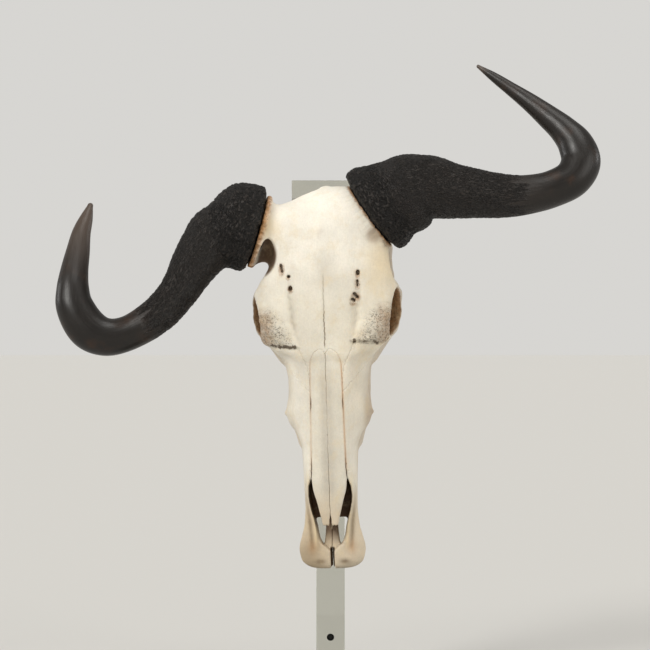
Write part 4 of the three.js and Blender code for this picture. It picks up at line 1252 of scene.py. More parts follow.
@dataclass(frozen=True)
class HornSkin:
    """The tree that grows a horn's surface: vermiculate bark on the boss and long fibres with low rings beyond."""

    name: str = "horn_skin"

    @cached_property
    def tree(self) -> Tree:
        """The Geometry Nodes tree."""
        sheet, given, result = new_tree(self.name, {
            "Bark Depth": ("NodeSocketFloat", 0.001), "Bark Scale": ("NodeSocketFloat", 1.0),
            "Fibre Depth": ("NodeSocketFloat", 0.0007), "Ring Depth": ("NodeSocketFloat", 0.0006),
            "Seed": ("NodeSocketFloat", 5.0), "Finish": ("NodeSocketMaterial", None)})
        seed = given.outputs["Seed"]
        where = sheet.add("GeometryNodeInputPosition").outputs[0]
        grown, barky = sheet.stored("grown", "FLOAT_VECTOR"), sheet.stored("barky")
        bent = sheet.swirled(sheet.stored("rimwise", "FLOAT_VECTOR"), where, 34.0, seed, 0.014)
        bent = sheet.vector("MULTIPLY", bent, (210.0, 120.0, 120.0))
        coarse = sheet.noise(bent, given.outputs["Bark Scale"], 3, 0.6, seed)
        ridge = sheet.math("ABSOLUTE", sheet.times(sheet.minus(coarse, 0.5), 2.0))
        ridge = sheet.spread(ridge, 0.0, 0.26, -1.0, 0.25)
        knobs = sheet.minus(sheet.noise(where, 210, 4, 0.65, seed), 0.5)
        bark = sheet.times(sheet.math("MULTIPLY_ADD", knobs, 1.6, ridge), given.outputs["Bark Depth"])
        long = sheet.vector("MULTIPLY", grown, (150.0, 150.0, 22.0))
        strand = sheet.minus(sheet.noise(long, 1.0, 4, 0.6, seed), 0.5)
        rings = sheet.vector("MULTIPLY", grown, (12.0, 12.0, 70.0))
        ring = sheet.minus(sheet.noise(rings, 1.0, 2, 0.5, seed), 0.5)
        shaft = sheet.plus(sheet.times(strand, given.outputs["Fibre Depth"]),
                           sheet.times(ring, given.outputs["Ring Depth"]))
        rough = sheet.spread(sheet.stored("polish"), 0.0, 1.0, 1.6, 0.2)
        shaft = sheet.times(sheet.times(shaft, sheet.minus(1.0, barky)), rough)
        return raised(sheet, given, result, sheet.math("MULTIPLY_ADD", bark, barky, shaft))


@dataclass(frozen=True)
class Scatter:
    """The tree that sets copies of one piece on the points of a mesh, turned and sized by the points' marks."""

    name: str = "scatter"

    @cached_property
    def tree(self) -> Tree:
        """The Geometry Nodes tree."""
        sheet, given, result = new_tree(self.name, {
            "Piece": ("NodeSocketObject", None), "Spin": ("NodeSocketFloat", 0.0), "Seed": ("NodeSocketInt", 4),
            "Finish": ("NodeSocketMaterial", None)})
        piece = sheet.add("GeometryNodeObjectInfo", Object=given.outputs["Piece"]).outputs["Geometry"]
        spin = given.outputs["Spin"]
        chance = sheet.add("FunctionNodeRandomValue", {"data_type": "FLOAT"}, in_2=sheet.times(spin, -1.0),
                           in_3=spin, Seed=given.outputs["Seed"]).outputs[1]
        jitter = sheet.add("ShaderNodeCombineXYZ", X=chance, Y=0.0, Z=0.0).outputs[0]
        turn = sheet.vector("ADD", sheet.stored("turn", "FLOAT_VECTOR"), jitter)
        set_out = sheet.add("GeometryNodeInstanceOnPoints", Points=given.outputs["Geometry"], Instance=piece,
                            Rotation=turn, Scale=sheet.stored("size", "FLOAT_VECTOR"))
        real = sheet.add("GeometryNodeRealizeInstances", Geometry=set_out.outputs[0])
        return ended(sheet, given, result, real)

    def on(self, name: str, points: Array, sizes: Array, turns: Array, piece: Thing, finish: Finish,
           spin: float = 0.0) -> Thing:
        """Sets copies of a piece on points and joins them in one object.

        Args:
            name: The new object's name.
            points: Places in metres.
            sizes: A scale along each axis for each point.
            turns: Angles about each axis for each point.
            piece: The piece that is copied, which is removed afterwards.
            finish: The finish of the copies.
            spin: The most by which a copy turns at random about X.

        Returns:
            The new object.
        """
        made = new_object(name, points, np.zeros((0, 3), int))
        store(made, size=sizes, turn=turns)
        through_nodes(made, self.tree, Piece=piece, Spin=spin, Finish=finish.material)
        bpy.data.objects.remove(piece)
        return made


@dataclass(frozen=True)
class Horn:
    """One horn sheath: the swollen boss and the shaft that bends out, down and up from it.

    The line holds x, depth behind the face plane, z, half width from the front and half depth. The boss's size
    holds pairs of a distance along its axis and a radius.
    """

    side: Side
    at: Point
    axis: Point
    boss: Profile
    boss_depth: float
    line: tuple[tuple[float, float, float, float, float], ...]
    cell: float
    bark_end: float
    pale_tip: float
    collar_inset: float
    plane_y: float = -50
    samples: int = 220

    @cached_property
    def frame(self) -> tuple[Array, Array, Array, Array]:
        """The boss's centre and its axes: along, across and deep."""
        along = np.array(self.axis) / np.linalg.norm(self.axis)
        across = np.cross((0, 1, 0), along)
        across /= np.linalg.norm(across)
        centre = np.array([self.at[0], self.at[1] + self.plane_y, self.at[2]], float)
        return centre, along, across, np.cross(along, across)

    @cached_property
    def path(self) -> dict[str, Array]:
        """Evenly spaced stations along the shaft with their axes, radii and distance from the start."""
        given = np.array(self.line, float)
        given[:, 1] += self.plane_y
        knots = np.concatenate([[0], np.cumsum(np.sqrt(np.linalg.norm(np.diff(given[:, :3], axis=0), axis=1)))])
        first, last = 2 * given[0] - given[1], 2 * given[-1] - given[-2]
        control = np.vstack([first, given, last])
        knots = np.concatenate([[2 * knots[0] - knots[1]], knots, [2 * knots[-1] - knots[-2]]])
        rows = []
        for i in range(1, len(control) - 2):
            steps = np.linspace(knots[i], knots[i + 1], 24, endpoint=i == len(control) - 3)[:, None]
            k, c = knots[i - 1:i + 3], control[i - 1:i + 3]
            a = [((k[j + 1] - steps) * c[j] + (steps - k[j]) * c[j + 1]) / (k[j + 1] - k[j]) for j in range(3)]
            b = [((k[j + 2] - steps) * a[j] + (steps - k[j]) * a[j + 1]) / (k[j + 2] - k[j]) for j in range(2)]
            rows.append(((k[2] - steps) * b[0] + (steps - k[1]) * b[1]) / (k[2] - k[1]))
        dense = np.vstack(rows)
        run = np.concatenate([[0], np.cumsum(np.linalg.norm(np.diff(dense[:, :3], axis=0), axis=1))])
        even = np.linspace(0, run[-1], self.samples)
        line = np.stack([np.interp(even, run, dense[:, i]) for i in range(5)], 1)
        tangent = np.gradient(line[:, :3], axis=0)
        tangent /= np.linalg.norm(tangent, axis=1, keepdims=True)
        across = np.cross((0, 1, 0), tangent)
        across /= np.linalg.norm(across, axis=1, keepdims=True)
        return {"run": even, "centre": line[:, :3], "radii": line[:, 3:], "tangent": tangent, "across": across,
                "deep": np.cross(tangent, across)}

    def boss_field(self, points: Array) -> Array:
        """The field of the boss at points in the part's frame, in millimetres."""
        centre, along, across, deep = self.frame
        off = points - centre
        e, a, b = off @ along, off @ across, off @ deep
        turn = np.arctan2(b, a)
        radius = self.boss(e) + 0.6 * wobble(turn, 1.1, 0.4) + 0.35 * wobble(turn, 0.47, 1.2)
        slope = (self.boss(e + 1) - self.boss(e - 1)) / 2
        body = (np.hypot(a, b / self.boss_depth) - radius) / np.sqrt(1 + slope * slope)
        rim = -e + 0.9 * wobble(turn, 0.8, 2.0) + 0.6 * wobble(turn, 0.31, 0.3) + 0.9
        return meet(meet(body, rim, 8), e - self.boss.points[-1][0], 3)

    def on_shaft(self, points: Array) -> dict[str, Array]:
        """Where points lie about the shaft.

        Args:
            points: Points in the part's frame, in millimetres.

        Returns:
            The field, the distance along the shaft, the angle round it and its mean radius there.
        """
        path = self.path
        centre = path["centre"].astype(np.float32)
        apart = (centre**2).sum(1) - 2 * (points.astype(np.float32) @ centre.T)
        i = apart.argmin(1)
        off = points - path["centre"][i]
        e = (off * path["tangent"][i]).sum(1)
        pitch = path["run"][1]
        slip = np.clip(e, -pitch / 2, pitch / 2)
        run = path["run"][i] + slip
        a, b = (off * path["across"][i]).sum(1), (off * path["deep"][i]).sum(1)
        ra, rb = (np.interp(run, path["run"], path["radii"][:, j]) for j in range(2))
        turn = np.arctan2(b, a)
        reach = ra * rb / np.hypot(rb * np.cos(turn), ra * np.sin(turn))
        return {"field": np.sqrt(a * a + b * b + (e - slip) ** 2) - reach, "run": run, "turn": turn,
                "radius": (ra + rb) / 2}

    def field(self, points: Array) -> Array:
        """The field of the whole sheath at points in the part's frame, in millimetres."""
        return join(self.boss_field(points), self.on_shaft(points)["field"].astype(np.float32), 7)

    def collar(self, points: Array) -> Array:
        """The field of the porous ring of bone that the rim sits on."""
        centre, along, across, deep = self.frame
        off = points - centre
        e, turn = off @ along, np.arctan2(off @ deep, off @ across)
        wide = self.boss(np.zeros(1))[0] - self.collar_inset + 1.2 * wobble(turn, 0.22, 1.0)
        return meet(np.abs(e + 3) - 3.4, np.hypot(off @ across, off @ deep / self.boss_depth) - wide, 3)

    def clearance(self, points: Array) -> Array:
        """Positive where bone has to stay away: inside the sheath or past the plane of its rim."""
        centre, along, _, _ = self.frame
        past = (points - centre) @ along + GAP
        return np.maximum(past, GAP - self.field(points))

    def build(self, skin: HornSkin, finish: HornFinish) -> Thing:
        """Makes the sheath.

        Args:
            skin: The tree that gives it its surface.
            finish: Its finish.

        Returns:
            The object.
        """
        low = np.minimum(self.path["centre"].min(0) - 32, self.frame[0] - 72)
        high = np.maximum(self.path["centre"].max(0) + 32, self.frame[0] + 72)
        points, quads = surface(lambda x, y, z: self.field(np.stack([x, y, z], 1)), low, high, self.cell)
        made = new_object(f"horn_{self.side.label}_sheath", points * MILLIMETRE, quads)
        shaft = self.on_shaft(points)
        boss = self.boss_field(points)
        turn, share = shaft["turn"], shaft["run"] / self.path["run"][-1]
        barky = ramp(9, -3, boss - shaft["field"]) * ramp(16, 2, boss)
        ragged = share + 0.025 * wobble(turn, 1.3, 0.6) + 0.012 * wobble(turn, 0.37, 1.9)
        coarse = ramp(self.bark_end + 0.015, self.bark_end - 0.02, ragged)
        polish = np.clip(ramp(0.3, 0.5, share) * 0.8 + 0.3 * hump(share, 0.58, 0.13), 0, 1)
        round_it = np.stack([np.cos(turn), np.sin(turn)], 1) * shaft["radius"][:, None]
        off = points - self.frame[0]
        store(made, grown=np.column_stack([round_it, shaft["run"]]) * MILLIMETRE,
              rimwise=np.stack([off @ axis for axis in self.frame[1:]], 1) * MILLIMETRE,
              barky=np.clip(barky + 0.6 * coarse, 0, 1), drawn=ramp(4, 22, boss), polish=polish,
              tip=ramp(self.pale_tip, 1.0, share))
        through_nodes(made, skin.tree, Finish=finish.material, Seed=5.0 + self.side.value)
        moved = np.zeros(len(made.data.vertices) * 3, np.float32)
        made.data.vertices.foreach_get("co", moved)
        moved = moved.reshape(-1, 3) / MILLIMETRE
        # painted shade: how far each point lies in a hollow of the finished sheath, which its finish darkens
        store(made, crevice=np.clip(hollowness(moved, quads, 6) / 0.5, 0, 1) * (1 - polish))
        return made


RIGHT_HORN = Horn(
    side=Side.RIGHT, at=(-88, -2, 566), axis=(-0.95, -0.1, 0.27), boss_depth=0.95, cell=1.3, bark_end=0.4,
    pale_tip=0.72, collar_inset=3.5,
    boss=Profile(((0, 47), (3, 51), (10, 53), (26, 51.5), (42, 46), (54, 33), (61, 19), (65, 5)), 0.1),
    line=((-112, -9, 565, 33, 33), (-133, -13, 562, 36, 33), (-150, -18, 543, 32.3, 31),
          (-164, -23, 522, 28, 27), (-180, -29, 494, 23.5, 24), (-204, -34, 466, 22.2, 22),
          (-241, -38, 443, 20.8, 20.5), (-266, -40, 439, 22.6, 20), (-286, -40, 448, 24.4, 20),
          (-303, -37, 475, 22.3, 18.5), (-306, -31, 496, 19.4, 17), (-305, -22, 518, 16.6, 14.5),
          (-302, -12, 541, 14.2, 12.5), (-299, -3, 563, 11.3, 10.5), (-294, 5, 581, 8, 7.5),
          (-290, 11, 596, 3.6, 3.4)))
LEFT_HORN = Horn(
    side=Side.LEFT, at=(46, -6, 586), axis=(0.81, -0.12, 0.58), boss_depth=0.86, cell=1.35, bark_end=0.37,
    pale_tip=0.96, collar_inset=13,
    boss=Profile(((0, 48), (4, 54), (14, 56), (26, 51), (40, 42), (52, 30), (60, 18), (64, 5)), 0.1),
    line=((74, -12, 603, 47, 43), (99, -18, 612, 46.5, 40), (119, -22, 616, 39, 36), (145, -27, 612, 33.3, 31),
          (171, -32, 609, 29.6, 27.5), (202, -36, 606, 26.4, 25), (232, -39, 607, 23.4, 23),
          (262, -40, 614, 22, 21), (286, -38, 627, 22.7, 20.5), (296, -33, 646, 23.5, 19.5),
          (291, -26, 667, 21.4, 17.5), (278, -17, 685, 17.4, 15), (260, -8, 702, 14.3, 12.5),
          (239, 0, 720, 11.1, 9.8), (217, 8, 737, 8.2, 7.6), (197, 14, 752, 5.8, 5.4), (179, 19, 765, 2.4, 2.4)))


def boxed(side: Side, low: Point, high: Point) -> tuple[Point, Point]:
    """A box given on the animal's left, on the side that is asked for."""
    if side is Side.LEFT:
        return low, high
    return (-high[0], *low[1:]), (-low[0], *high[1:])


@dataclass(frozen=True)
class Bone:
    """One bone of the skull: the share of the whole form that its sutures leave it."""

    name: str
    node: str
    region: Field
    low: Point
    high: Point
    cell: float = 1.0
    by_horns: bool = False


class Paint:
    """A bone's colour at each of its points, laid on in glazes."""

    def __init__(self, form: SkullForm, points: Array, base: tuple) -> None:
        """Measures where each point lies and lays the first colour.

        Args:
            form: The whole skull.
            points: The bone's points in the skull's frame.
            base: The first colour.
        """
        self.u, self.v, self.w = points.T
        self.a = np.abs(self.u)
        self.depth = form.below_forehead(*points.T)
        self.front = ramp(26, 8, self.depth)
        self.tint = np.tile(np.array(base), (len(points), 1))

    def glaze(self, colour: tuple, share: Array) -> None:
        """Mixes a colour in, by a share from 0 to 1 for each point."""
        self.tint += (np.array(colour) - self.tint) * np.clip(share, 0, 1)[:, None]


@dataclass
class Skull:
    """The bones, parted along their sutures and dressed."""

    form: SkullForm
    horns: tuple[Horn, ...]
    skin: BoneSkin = BoneSkin()
    finish: BoneFinish = BoneFinish()
    horn_reach: float = 110
    quick_cell: float = 1.8
    bone: tuple = linear(232, 225, 209)
    pale: tuple = linear(244, 238, 225)
    grey: tuple = linear(205, 197, 182)
    tan: tuple = linear(203, 178, 142)
    ochre: tuple = linear(234, 214, 176)
    drab: tuple = linear(150, 130, 102)
    umber: tuple = linear(140, 100, 56)
    # painted shade: a dark brown for the facets under the snout's tip, the inside of the nose and the hollow under the
    # right horn
    soot: tuple = linear(92, 64, 36)
    # painted shade: the darkest brown, for the open cracks, the cleft and the back of the nose
    pit: tuple = linear(92, 64, 38)
    amber: tuple = linear(196, 134, 66)

    def bones(self) -> list[Bone]:
        """Every bone with its region and box."""
        f = self.form
        made = []
        for side in Side:
            made += self.of_face(side) + self.of_eye(side)
        made.append(self.of_forehead())

        def case(u: Array, v: Array, w: Array) -> Array:
            cheeks = [FAINT - f.beyond_cheekbone(side, u, v, w) for side in Side]
            return overlap(FAINT - f.above_cheek(u, v, w), FAINT - f.behind_frontal(u, v, w), *cheeks,
                           GAP - f.beyond_nasals(u, v, w))

        made.append(Bone("braincase", "cranium", case, (-104, 22, 250), (104, 132, 466), 1.45, True))
        return made

    def of_face(self, side: Side) -> list[Bone]:
        """The nasal, premaxilla and maxilla of one side."""
        f = self.form

        def nasal(u: Array, v: Array, w: Array) -> Array:
            return overlap(f.beyond_side(side, u, w), f.beyond_nasals(u, v, w) + f.cracked(w) + FAINT)

        def premaxilla(u: Array, v: Array, w: Array) -> Array:
            return overlap(f.beyond_side(side, u, w), GAP / 2 - f.beyond_nasals(u, v, w), f.above_snout(v, w) + FAINT)

        def maxilla(u: Array, v: Array, w: Array) -> Array:
            return overlap(FAINT - f.above_snout(v, w), f.above_cheek(u, v, w) + FAINT, f.beyond_side(side, u, w),
                           FAINT - f.beyond_nasals(u, v, w))

        return [
            Bone(f"nasal_{side.label}_bone", f"nasal_{side.label}", nasal,
                 *boxed(side, (-3, -38, 42), (26, 36, 272)), 0.9),
            Bone(f"premaxilla_{side.label}_bone", f"premaxilla_{side.label}", premaxilla,
                 *boxed(side, (-3, -4, -14), (50, 72, 126))),
            Bone(f"maxilla_{side.label}_bone", f"maxilla_{side.label}", maxilla,
                 *boxed(side, (-3, -34, 52), (80, 92, 286)))]

    def of_eye(self, side: Side) -> list[Bone]:
        """The lacrimal and cheekbone of one side."""
        f = self.form

        def lacrimal(u: Array, v: Array, w: Array) -> Array:
            return overlap(f.beyond_lacrimal(u, v, w) + FAINT, FAINT - side.value * u, self.above_face(u, v, w))

        def cheekbone(u: Array, v: Array, w: Array) -> Array:
            return overlap(f.beyond_cheekbone(side, u, v, w) + FAINT, FAINT - f.above_cheek(u, v, w))

        return [
            Bone(f"lacrimal_{side.label}_bone", "cranium", lacrimal, *boxed(side, (14, -46, 205), (100, 30, 278))),
            Bone(f"zygomatic_{side.label}_bone", f"zygomatic_{side.label}", cheekbone,
                 *boxed(side, (50, 26, 256), (106, 104, 372)), 1.2)]

    def above_face(self, u: Array, v: Array, w: Array) -> Array:
        """Positive in the face and the cheekbones, below the bones of the forehead and the eye sockets."""
        f = self.form
        cheeks = [FAINT - f.beyond_cheekbone(side, u, v, w) for side in Side]
        return overlap(FAINT - f.above_cheek(u, v, w), FAINT - f.beyond_nasals(u, v, w), *cheeks)

    def of_forehead(self) -> Bone:
        """The two frontals, grown together but for a fine line over their lower half."""
        f = self.form

        def frontals(u: Array, v: Array, w: Array) -> Array:
            return overlap(self.above_face(u, v, w), f.behind_frontal(u, v, w) + FAINT,
                           FAINT - f.beyond_lacrimal(u, v, w))

        return Bone("frontals", "cranium", frontals, (-122, -56, 205), (122, 36, 466), 1.15, True)

    def make(self, bone: Bone) -> Thing:
        """Makes one bone.

        Args:
            bone: The bone.

        Returns:
            The object.
        """
        def field_of(u: Array, v: Array, w: Array) -> Array:
            d = np.maximum(self.form(u, v, w), bone.region(u, v, w))
            if not bone.by_horns:
                return d
            placed = np.stack(self.form.pose.place(u, v, w), 1)
            for horn in self.horns:
                near = np.linalg.norm(placed - horn.frame[0], axis=1) < self.horn_reach
                if near.any():
                    grown = join(d[near], horn.collar(placed[near]), 13)
                    grown = np.maximum(grown, bone.region(u[near], v[near], w[near]))
                    d[near] = np.maximum(grown, horn.clearance(placed[near]))
            return d

        cell = bone.cell * 1.0
        points, quads = surface(field_of, bone.low, bone.high, cell)
        placed = np.stack(self.form.pose.place(*points.T), 1)
        made = new_object(bone.name, placed * MILLIMETRE, quads)
        self.mark(made, points, placed, quads)
        return through_nodes(made, self.skin.tree, Finish=self.finish.material)

    def paint_face(self, p: Paint) -> None:
        """The pale bridge of the nose, painted light on the upper forehead, yellower patches on cheek and forehead, and
        worn grey ones.
        """
        u, w, a, front = p.u, p.w, p.a, p.front
        p.glaze(self.umber, 0.35 * ramp(10, 60, p.depth))
        # painted light: the forehead paler towards the crown, as under light from above
        p.glaze(self.pale, front * ramp(300, 400, w))
        trough = front * ramp(13, 3, a) * ramp(60, 100, w) * ramp(262, 220, w)
        p.glaze(self.grey, trough * 0.75)
        p.glaze(self.pale, front * ramp(20, 30, a) * ramp(100, 140, w) * ramp(270, 240, w) * 0.7)
        p.glaze(self.ochre, front * ramp(10, 40, u) * 0.3 * hump(w, 230, 70))
        p.glaze(self.ochre, front * ramp(38, 70, u) * hump(w, 362, 34) * 0.75)
        p.glaze(self.ochre, front * hump(u, -66, 12) * hump(w, 420, 18) * 0.8)
        p.glaze(self.grey, front * hump(u, 4, 16) * hump(w, 352, 18) * 0.35)
        p.glaze(self.grey, front * hump(a, 30, 9) * hump(w, 250, 30) * 0.35)

    def paint_snout(self, p: Paint) -> None:
        """The tan snout with its yellow processes, painted shade on the facets at its tip and over its right side, and
        small brown stains there and on the forehead.
        """
        u, w, a, front = p.u, p.w, p.a, p.front
        process = self.form.process(w)
        # partly painted shade: the snout's right side, at negative u, takes more of the tan
        p.glaze(self.tan, ramp(112, 50, w) * (0.7 + 0.25 * ramp(5, -15, u)) * 0.75)
        ridge = hump(a, process, 2.4) * ramp(14, 30, w) * ramp(124, 92, w) * front
        p.glaze(self.ochre, ridge * 0.85)
        beside = hump(a, process + 6, 2.6) * ramp(10, 26, w) * ramp(112, 70, w) * front
        p.glaze(self.drab, beside * 0.5)
        # painted shade: the facets under the tip of the snout
        p.glaze(self.soot, hump(a, 15, 6) * hump(w, 4, 3.4) * front * 0.75)
        # painted shade: the lower snout on its right side
        p.glaze(self.drab, ramp(44, 12, w) * ramp(-8, -26, u) * front * 0.5)
        p.glaze(self.umber, hump(u, -1, 3.5) * hump(w, 404, 3) * 0.16 + hump(u, -4, 2) * hump(w, 398, 5) * 0.12)
        p.glaze(self.amber, hump(a, 24, 6) * hump(w, 22, 9) * front * 0.3)

    def paint_nose(self, p: Paint) -> None:
        """Painted shade in the open cracks and amber sutures beside the nasals, and painted shade inside the nose and
        the cleft.
        """
        u, v, w, a = p.u, p.v, p.w, p.a
        f, nose = self.form, self.form.nose
        below = v - nose.front(w)
        crack = hump(a, nose.half(w) - 0.5 * f.cracked(w), 0.8) * np.minimum(1, f.cracked(w))
        # painted shade: the walls of the open cracks
        p.glaze(self.pit, crack * ramp(3, 0, np.abs(below - 3)) * 0.9)
        seamed = hump(a, nose.half(w), 1.1) * ramp(108, 130, w) * ramp(266, 240, w) * p.front
        p.glaze(self.amber, seamed * np.where(u > 0, 0.55, 0.3))
        # painted shade: the cleft at the tip
        p.glaze(self.pit, ramp(3.4, 2.2, a) * ramp(23, 19, w) * ramp(2, 6, v - f.face_front(w)))
        # painted shade: the inside of the nose, darkest at the back
        within = ramp(1.5, -1.0, a - nose.opening(w)) * ramp(4, 12, below) * (w < 176)
        p.glaze(self.soot, within * ramp(16, 46, w) * 0.9)
        p.glaze(self.pit, within * ramp(46, 58, w) * ramp(12, 26, below))

    def paint_brow(self, p: Paint) -> tuple[Array, Array]:
        """The worn brow over each eye socket, the sockets brown with stain and painted shade, and painted shade in the
        hollow under the right horn.

        Args:
            p: The bone's colour.

        Returns:
            The shares by which points lie on the brow and inside a socket.
        """
        u, v, w, a = p.u, p.v, p.w, p.a
        f = self.form
        p.glaze(self.umber, ramp(40, 48, a) * hump(w, 186, 24) * 0.45 * ramp(0, 30, u))
        brow = ramp(44, 62, a + 0.5 * (300 - w)) * ramp(266, 274, w) * ramp(322, 300, w)
        brow = brow * ramp(20, 8, p.depth)
        p.glaze(self.grey, brow * 0.5)
        p.glaze(self.umber, brow * ramp(58, 76, a) * 0.35)
        # partly stain, partly painted shade: the inside of each eye socket
        inside = ramp(7, 3, np.abs(f.orbit.hollow.field(a, v, w))) * ramp(6, 14, p.depth)
        p.glaze(self.umber, inside * 0.95)
        # painted shade: the hollow under the right horn
        temple = ramp(5, 1.5, np.abs(f.temples[0].field(u, v, w))) * ramp(2, 12, v + 42)
        p.glaze(self.soot, temple * 0.95)
        return brow, inside

    def mark(self, made: Thing, points: Array, placed: Array, quads: Array) -> None:
        """Stores colour, pits, stains and dirt at each point of a bone.

        Args:
            made: The bone's object.
            points: Its points in the skull's frame.
            placed: Its points in the part's frame, in millimetres.
            quads: Its faces.
        """
        f = self.form
        p = Paint(f, points, self.bone)
        u, v, w, depth = p.u, p.v, p.w, p.depth
        self.paint_face(p)
        self.paint_snout(p)
        self.paint_nose(p)
        brow, inside = self.paint_brow(p)
        stain = np.zeros(len(points))
        for horn, wide, strength in zip(self.horns, (11, 5), (1.0, 0.8)):
            centre, along, _, _ = horn.frame
            past = (placed - centre) @ along
            stain = np.maximum(stain, strength * ramp(-wide, -1.5, past))
            p.glaze(self.amber, strength * ramp(-wide + 2, -1, past) * 0.8)
        # painted shade: a brown shadow in the dent by the left horn's rim
        p.glaze(self.umber, ramp(6, 1, np.abs(f.temples[1].field(u, v, w))) * ramp(20, 8, depth) * 0.5)
        lobe = ramp(14, 6, np.hypot(u - 80, w - 386)) * ramp(16, 6, depth)
        stain = np.maximum(stain, 0.8 * lobe)
        stain = np.maximum(stain, 0.5 * brow * ramp(58, 66, p.a))
        for hole in f.foramina:
            away = np.hypot((u - hole.u) / (1 + abs(hole.across) / 6), (w - hole.w) / (1 + abs(hole.along) / 6))
            stain = np.maximum(stain, 0.75 * ramp(4.6, 2.0, away) * ramp(14, 8, depth))
        # painted shade: how far each point lies in a hollow, small and broad, which the finish darkens
        hollow = np.maximum(hollowness(placed, quads, 4) / 0.6, hollowness(placed, quads, 40) / 4.0)
        # dirt with painted shade in the band under the ledge
        under = np.clip(hump(w - f.ledge(u), -0.2, 3.0) * f.debris(u), 0, 1) * ramp(14, 6, depth)
        pitted = np.clip(brow * 0.85 + inside * 0.7, 0, 1)
        open_line = ramp(264, 270, w) * ramp(356, 344, w) * (depth < 6)
        store(made, tint=p.tint, stain=stain, debris=under, crevice=np.clip(hollow, 0, 1) * 0.6,
              pitted=np.maximum(pitted, 0.55 * ramp(0.3, 0.6, stain)), seam=u - f.midline(w),
              seam_share=open_line * (0.5 + 0.5 * ramp(320, 300, w)))

    def build(self) -> None:
        """Makes every bone and has each stand for its CAD node."""
        for bone in self.bones():
            hand_over(self.make(bone), bone.node)


@dataclass
class Teeth:
    """The six cheek teeth of each upper jaw: tall crowns with crescent cusps, roots sunk in the bone."""

    form: SkullForm
    scatter: Scatter
    finish: ToothFinish = ToothFinish()
    first: float = 150
    last: float = 250
    count: int = 6
    root: float = -12
    crown: float = 11
    around: int = 40
    uneven: float = 0.03

    def pattern(self) -> Thing:
        """One tooth of unit length and width, standing along Y, which the row copies."""
        turn = np.linspace(0, 2 * math.pi, self.around, endpoint=False)
        square = (np.abs(np.cos(turn)) ** 3 + np.abs(np.sin(turn)) ** 3) ** (-1 / 3)
        ribs = 1 + 0.07 * np.cos(4 * turn) * (np.cos(turn) > 0) - 0.1 * hump(np.abs(np.sin(turn)), 0, 0.16)
        outline = 0.5 * square * ribs
        levels = [(self.root, 0.72), (self.root / 2, 0.9), (0, 0.98), (4, 1.0), (8, 0.97), (10.2, 0.9),
                  (self.crown, 0.8), (self.crown - 0.6, 0.66), (self.crown - 1.9, 0.54), (self.crown - 1.2, 0.4),
                  (self.crown - 0.5, 0.3), (self.crown - 1.6, 0.16)]
        rings = []
        worn = []
        for height, scale in levels:
            cusp = 0.9 * np.cos(2 * turn) * ramp(8, 11, np.array(height)) * scale
            rings.append(np.stack([outline * scale * np.cos(turn), height + cusp, outline * scale * np.sin(turn)], 1))
            worn.append(np.full(self.around, 0.75 if scale < 0.6 and height > 5 else 0.15 + 0.4 * (height < 3)))
        points = np.vstack([*rings, [[0, self.root, 0]], [[0, self.crown - 1.8, 0]]])
        n, m = self.around, len(levels)
        faces = [[r * n + i, r * n + (i + 1) % n, (r + 1) * n + (i + 1) % n, (r + 1) * n + i]
                 for r in range(m - 1) for i in range(n)]
        caps = [[m * n, (i + 1) % n, i] for i in range(n)]
        caps += [[m * n + 1, (m - 1) * n + i, (m - 1) * n + (i + 1) % n] for i in range(n)]
        bm = bmesh.new()
        corners = [bm.verts.new(p) for p in points * [1, MILLIMETRE, 1]]
        for face in faces + caps:
            bm.faces.new([corners[i] for i in face])
        made = from_bmesh("tooth", bm)
        store(made, worn=np.concatenate([*worn, [0.2, 0.8]]))
        return made

    def build(self) -> None:
        """Makes both rows."""
        pose, palate = self.form.pose, self.form.palate
        pitch = (self.last - self.first) / self.count
        grade = np.arange(self.count) / (self.count - 1)
        middle = self.first + pitch * (np.arange(self.count) + 0.5)
        length = pitch * (0.9 + 0.1 * grade) * MILLIMETRE
        width = (11 + 5.5 * np.sin(grade * math.pi / 1.4)) * MILLIMETRE
        for side in Side:
            line = palate.tooth_line(middle)
            roots = pose.place(side.value * line, np.full(self.count, palate.alveolus), middle)
            slant = np.arctan2(np.gradient(line), pitch) * side.value
            sizes = np.stack([width, np.ones(self.count), length], 1)
            turns = np.stack([np.zeros(self.count), slant, np.full(self.count, -pose.yaw)], 1)
            made = self.scatter.on(f"teeth_{side.label}", np.stack(roots, 1) * MILLIMETRE, sizes, turns,
                                   self.pattern(), self.finish, self.uneven)
            hand_over(made)


